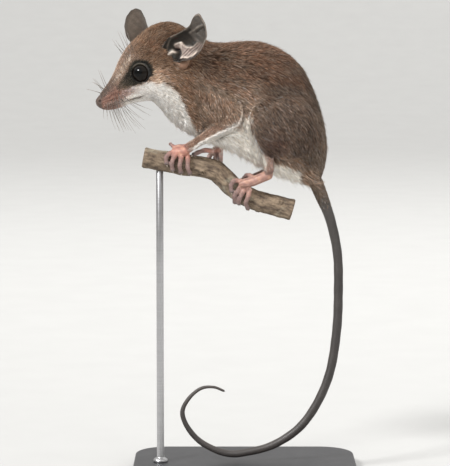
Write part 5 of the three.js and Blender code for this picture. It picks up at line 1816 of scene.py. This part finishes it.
# A profile of inset and height carried round a rectangle with quarter circles for corners. Two
# smaller rings at top and bottom keep the flat faces flat.
def makeBase():
    quarter = np.linspace(0, math.pi / 2, stand["cornerPoints"])
    corners = [(1, 1, 0), (-1, 1, math.pi / 2), (-1, -1, math.pi), (1, -1, 1.5 * math.pi)]
    halves = np.array([stand["length"], stand["width"]]) / 2 - stand["corner"]
    middle = np.repeat([(x, y) for x, y, start in corners] * halves, len(quarter), 0)
    turn = np.concatenate([start + quarter for x, y, start in corners])
    way = np.stack([np.cos(turn), np.sin(turn)], -1)
    bevel = np.linspace(0, math.pi / 2, 6)
    inset = stand["edge"] * (1 - np.sin(bevel))
    rise = stand["edge"] * (1 - np.cos(bevel))
    profile = [*zip(inset, rise), *zip(inset[::-1], stand["thick"] - rise[::-1])]
    level = np.ones(len(way))
    rings = [np.column_stack([middle + way * (stand["corner"] - i), level * z]) for i, z in profile]
    bottom = [rings[0] * np.array([share, share, 1]) for share in (0.5, 0.98)]
    top = [rings[-1] * np.array([share, share, 1]) for share in (0.98, 0.5)]
    thing = toMesh("standBase", *closedRings(np.array(bottom + rings + top)))
    keep(thing, [paintMaterial()], ["stand_base"])


# A turned profile of radius and height: a low collar on the base, then the rod.
def makeRod():
    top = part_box("stand_rod")[1].z / mm
    r, c, z = stand["rodRadius"], stand["collar"], stand["thick"]
    profile = np.array([
        (0.3, z + 0.02), (c - 0.15, z + 0.02), (c, z + 0.2), (c, z + 0.7), (c - 0.25, z + 1.25),
        (c - 0.9, z + 1.65), (r + 0.25, z + stand["collarHigh"]), (r + 0.05, z + 1.95), (r, z + 2.2),
        (r, z + 40), (r, z + 80), (r, top - 0.4), (r - 0.3, top)])
    middle = np.column_stack([np.full(len(profile), stand["rodX"]), 0 * profile[:, 0], profile[:, 1]])
    x, y = np.array([1, 0, 0]), np.array([0, 1, 0])
    rings = ringsRound(middle, profile[:, 0], x, y, anglesRound(stand["rodColumns"]))
    keep(toMesh("standRod", *closedRings(rings)), [steelMaterial()], ["stand_rod"])


makeBase()
makeRod()
print("perch and stand made")


# A plain pale floor that curves up far away on every side, and soft studio light. The key is a
# sun with a direction, a strength and a width in degrees; each lamp has a direction from the
# target, a distance, a size in metres and a power in watts.
studio = {"flat": 2.0, "curve": 2.6, "rise": 82, "steps": 24, "columns": 96, "paper": (0.34, 0.338, 0.33, 1),
          "mottles": [(30, 3, 0.985, 1.015)], "sky": (1.0, 0.99, 0.975, 1), "world": 0.95, "below": 0.05,
          "target": (0, 0, 0.15), "key": ((-0.57, -0.52, 0.65), 4.15, 13)}
lamps = {
    "fill": ((0.75, -0.8, 0.25), 1.6, 1.1, 16.0),
    "top": ((0.15, 0.55, 0.95), 1.5, 0.9, 24.0),
    "low": ((-0.1, -0.98, -0.04), 1.1, 0.5, 2.8),
}


def makeFloor():
    turn = np.radians(np.linspace(0, studio["rise"], studio["steps"]))
    out = np.concatenate([[0.05, 0.5], studio["flat"] + studio["curve"] * np.sin(turn)]) / mm
    high = np.concatenate([[0, 0], studio["curve"] * (1 - np.cos(turn))]) / mm - studio["below"]
    middle = np.column_stack([0 * out, 0 * out, high])
    x, y = np.array([1, 0, 0]), np.array([0, 1, 0])
    rings = ringsRound(middle, out, x, y, anglesRound(studio["columns"])).reshape(-1, 3)
    j = np.arange(studio["columns"])
    spokes = np.stack([np.full(len(j), len(rings)), j, (j + 1) % len(j)], -1)
    places = np.concatenate([rings, [[0, 0, -studio["below"]]]])
    floor = toMesh("floor", places, [spokes, gridQuads(len(out), len(j))[:, ::-1]])
    material, tree = newMaterial("floorPaper", 0.9, {})
    floor.data.materials.append(finished(material, mottled(tree, studio["paper"], studio["mottles"]), {}))


# A light of the kind as a new object, turned to shine against the direction.
def lightFrom(name, kind, direction, place, energy):
    light = bpy.data.lights.new(name, kind)
    light.energy = energy
    thing = bpy.data.objects.new(name, light)
    thing.location = place
    thing.rotation_euler = direction.to_track_quat("Z", "Y").to_euler()
    bpy.context.scene.collection.objects.link(thing)
    return thing, light


def makeLights():
    world = bpy.data.worlds.new("studio")
    world.use_nodes = True
    world.node_tree.nodes["Background"].inputs["Color"].default_value = studio["sky"]
    world.node_tree.nodes["Background"].inputs["Strength"].default_value = studio["world"]
    bpy.context.scene.world = world
    direction, strength, width = studio["key"]
    key, sun = lightFrom("key", "SUN", Vector(direction), (0, 0, 0), strength)
    sun.angle = math.radians(width)
    for name, (direction, distance, size, power) in lamps.items():
        away = Vector(direction).normalized() * distance
        lamp, light = lightFrom(name, "AREA", away, Vector(studio["target"]) + away, power)
        light.shape = "DISK"
        light.size = size
        lamp.visible_camera = lamp.visible_glossy = False


makeFloor()
makeLights()
print("studio made")
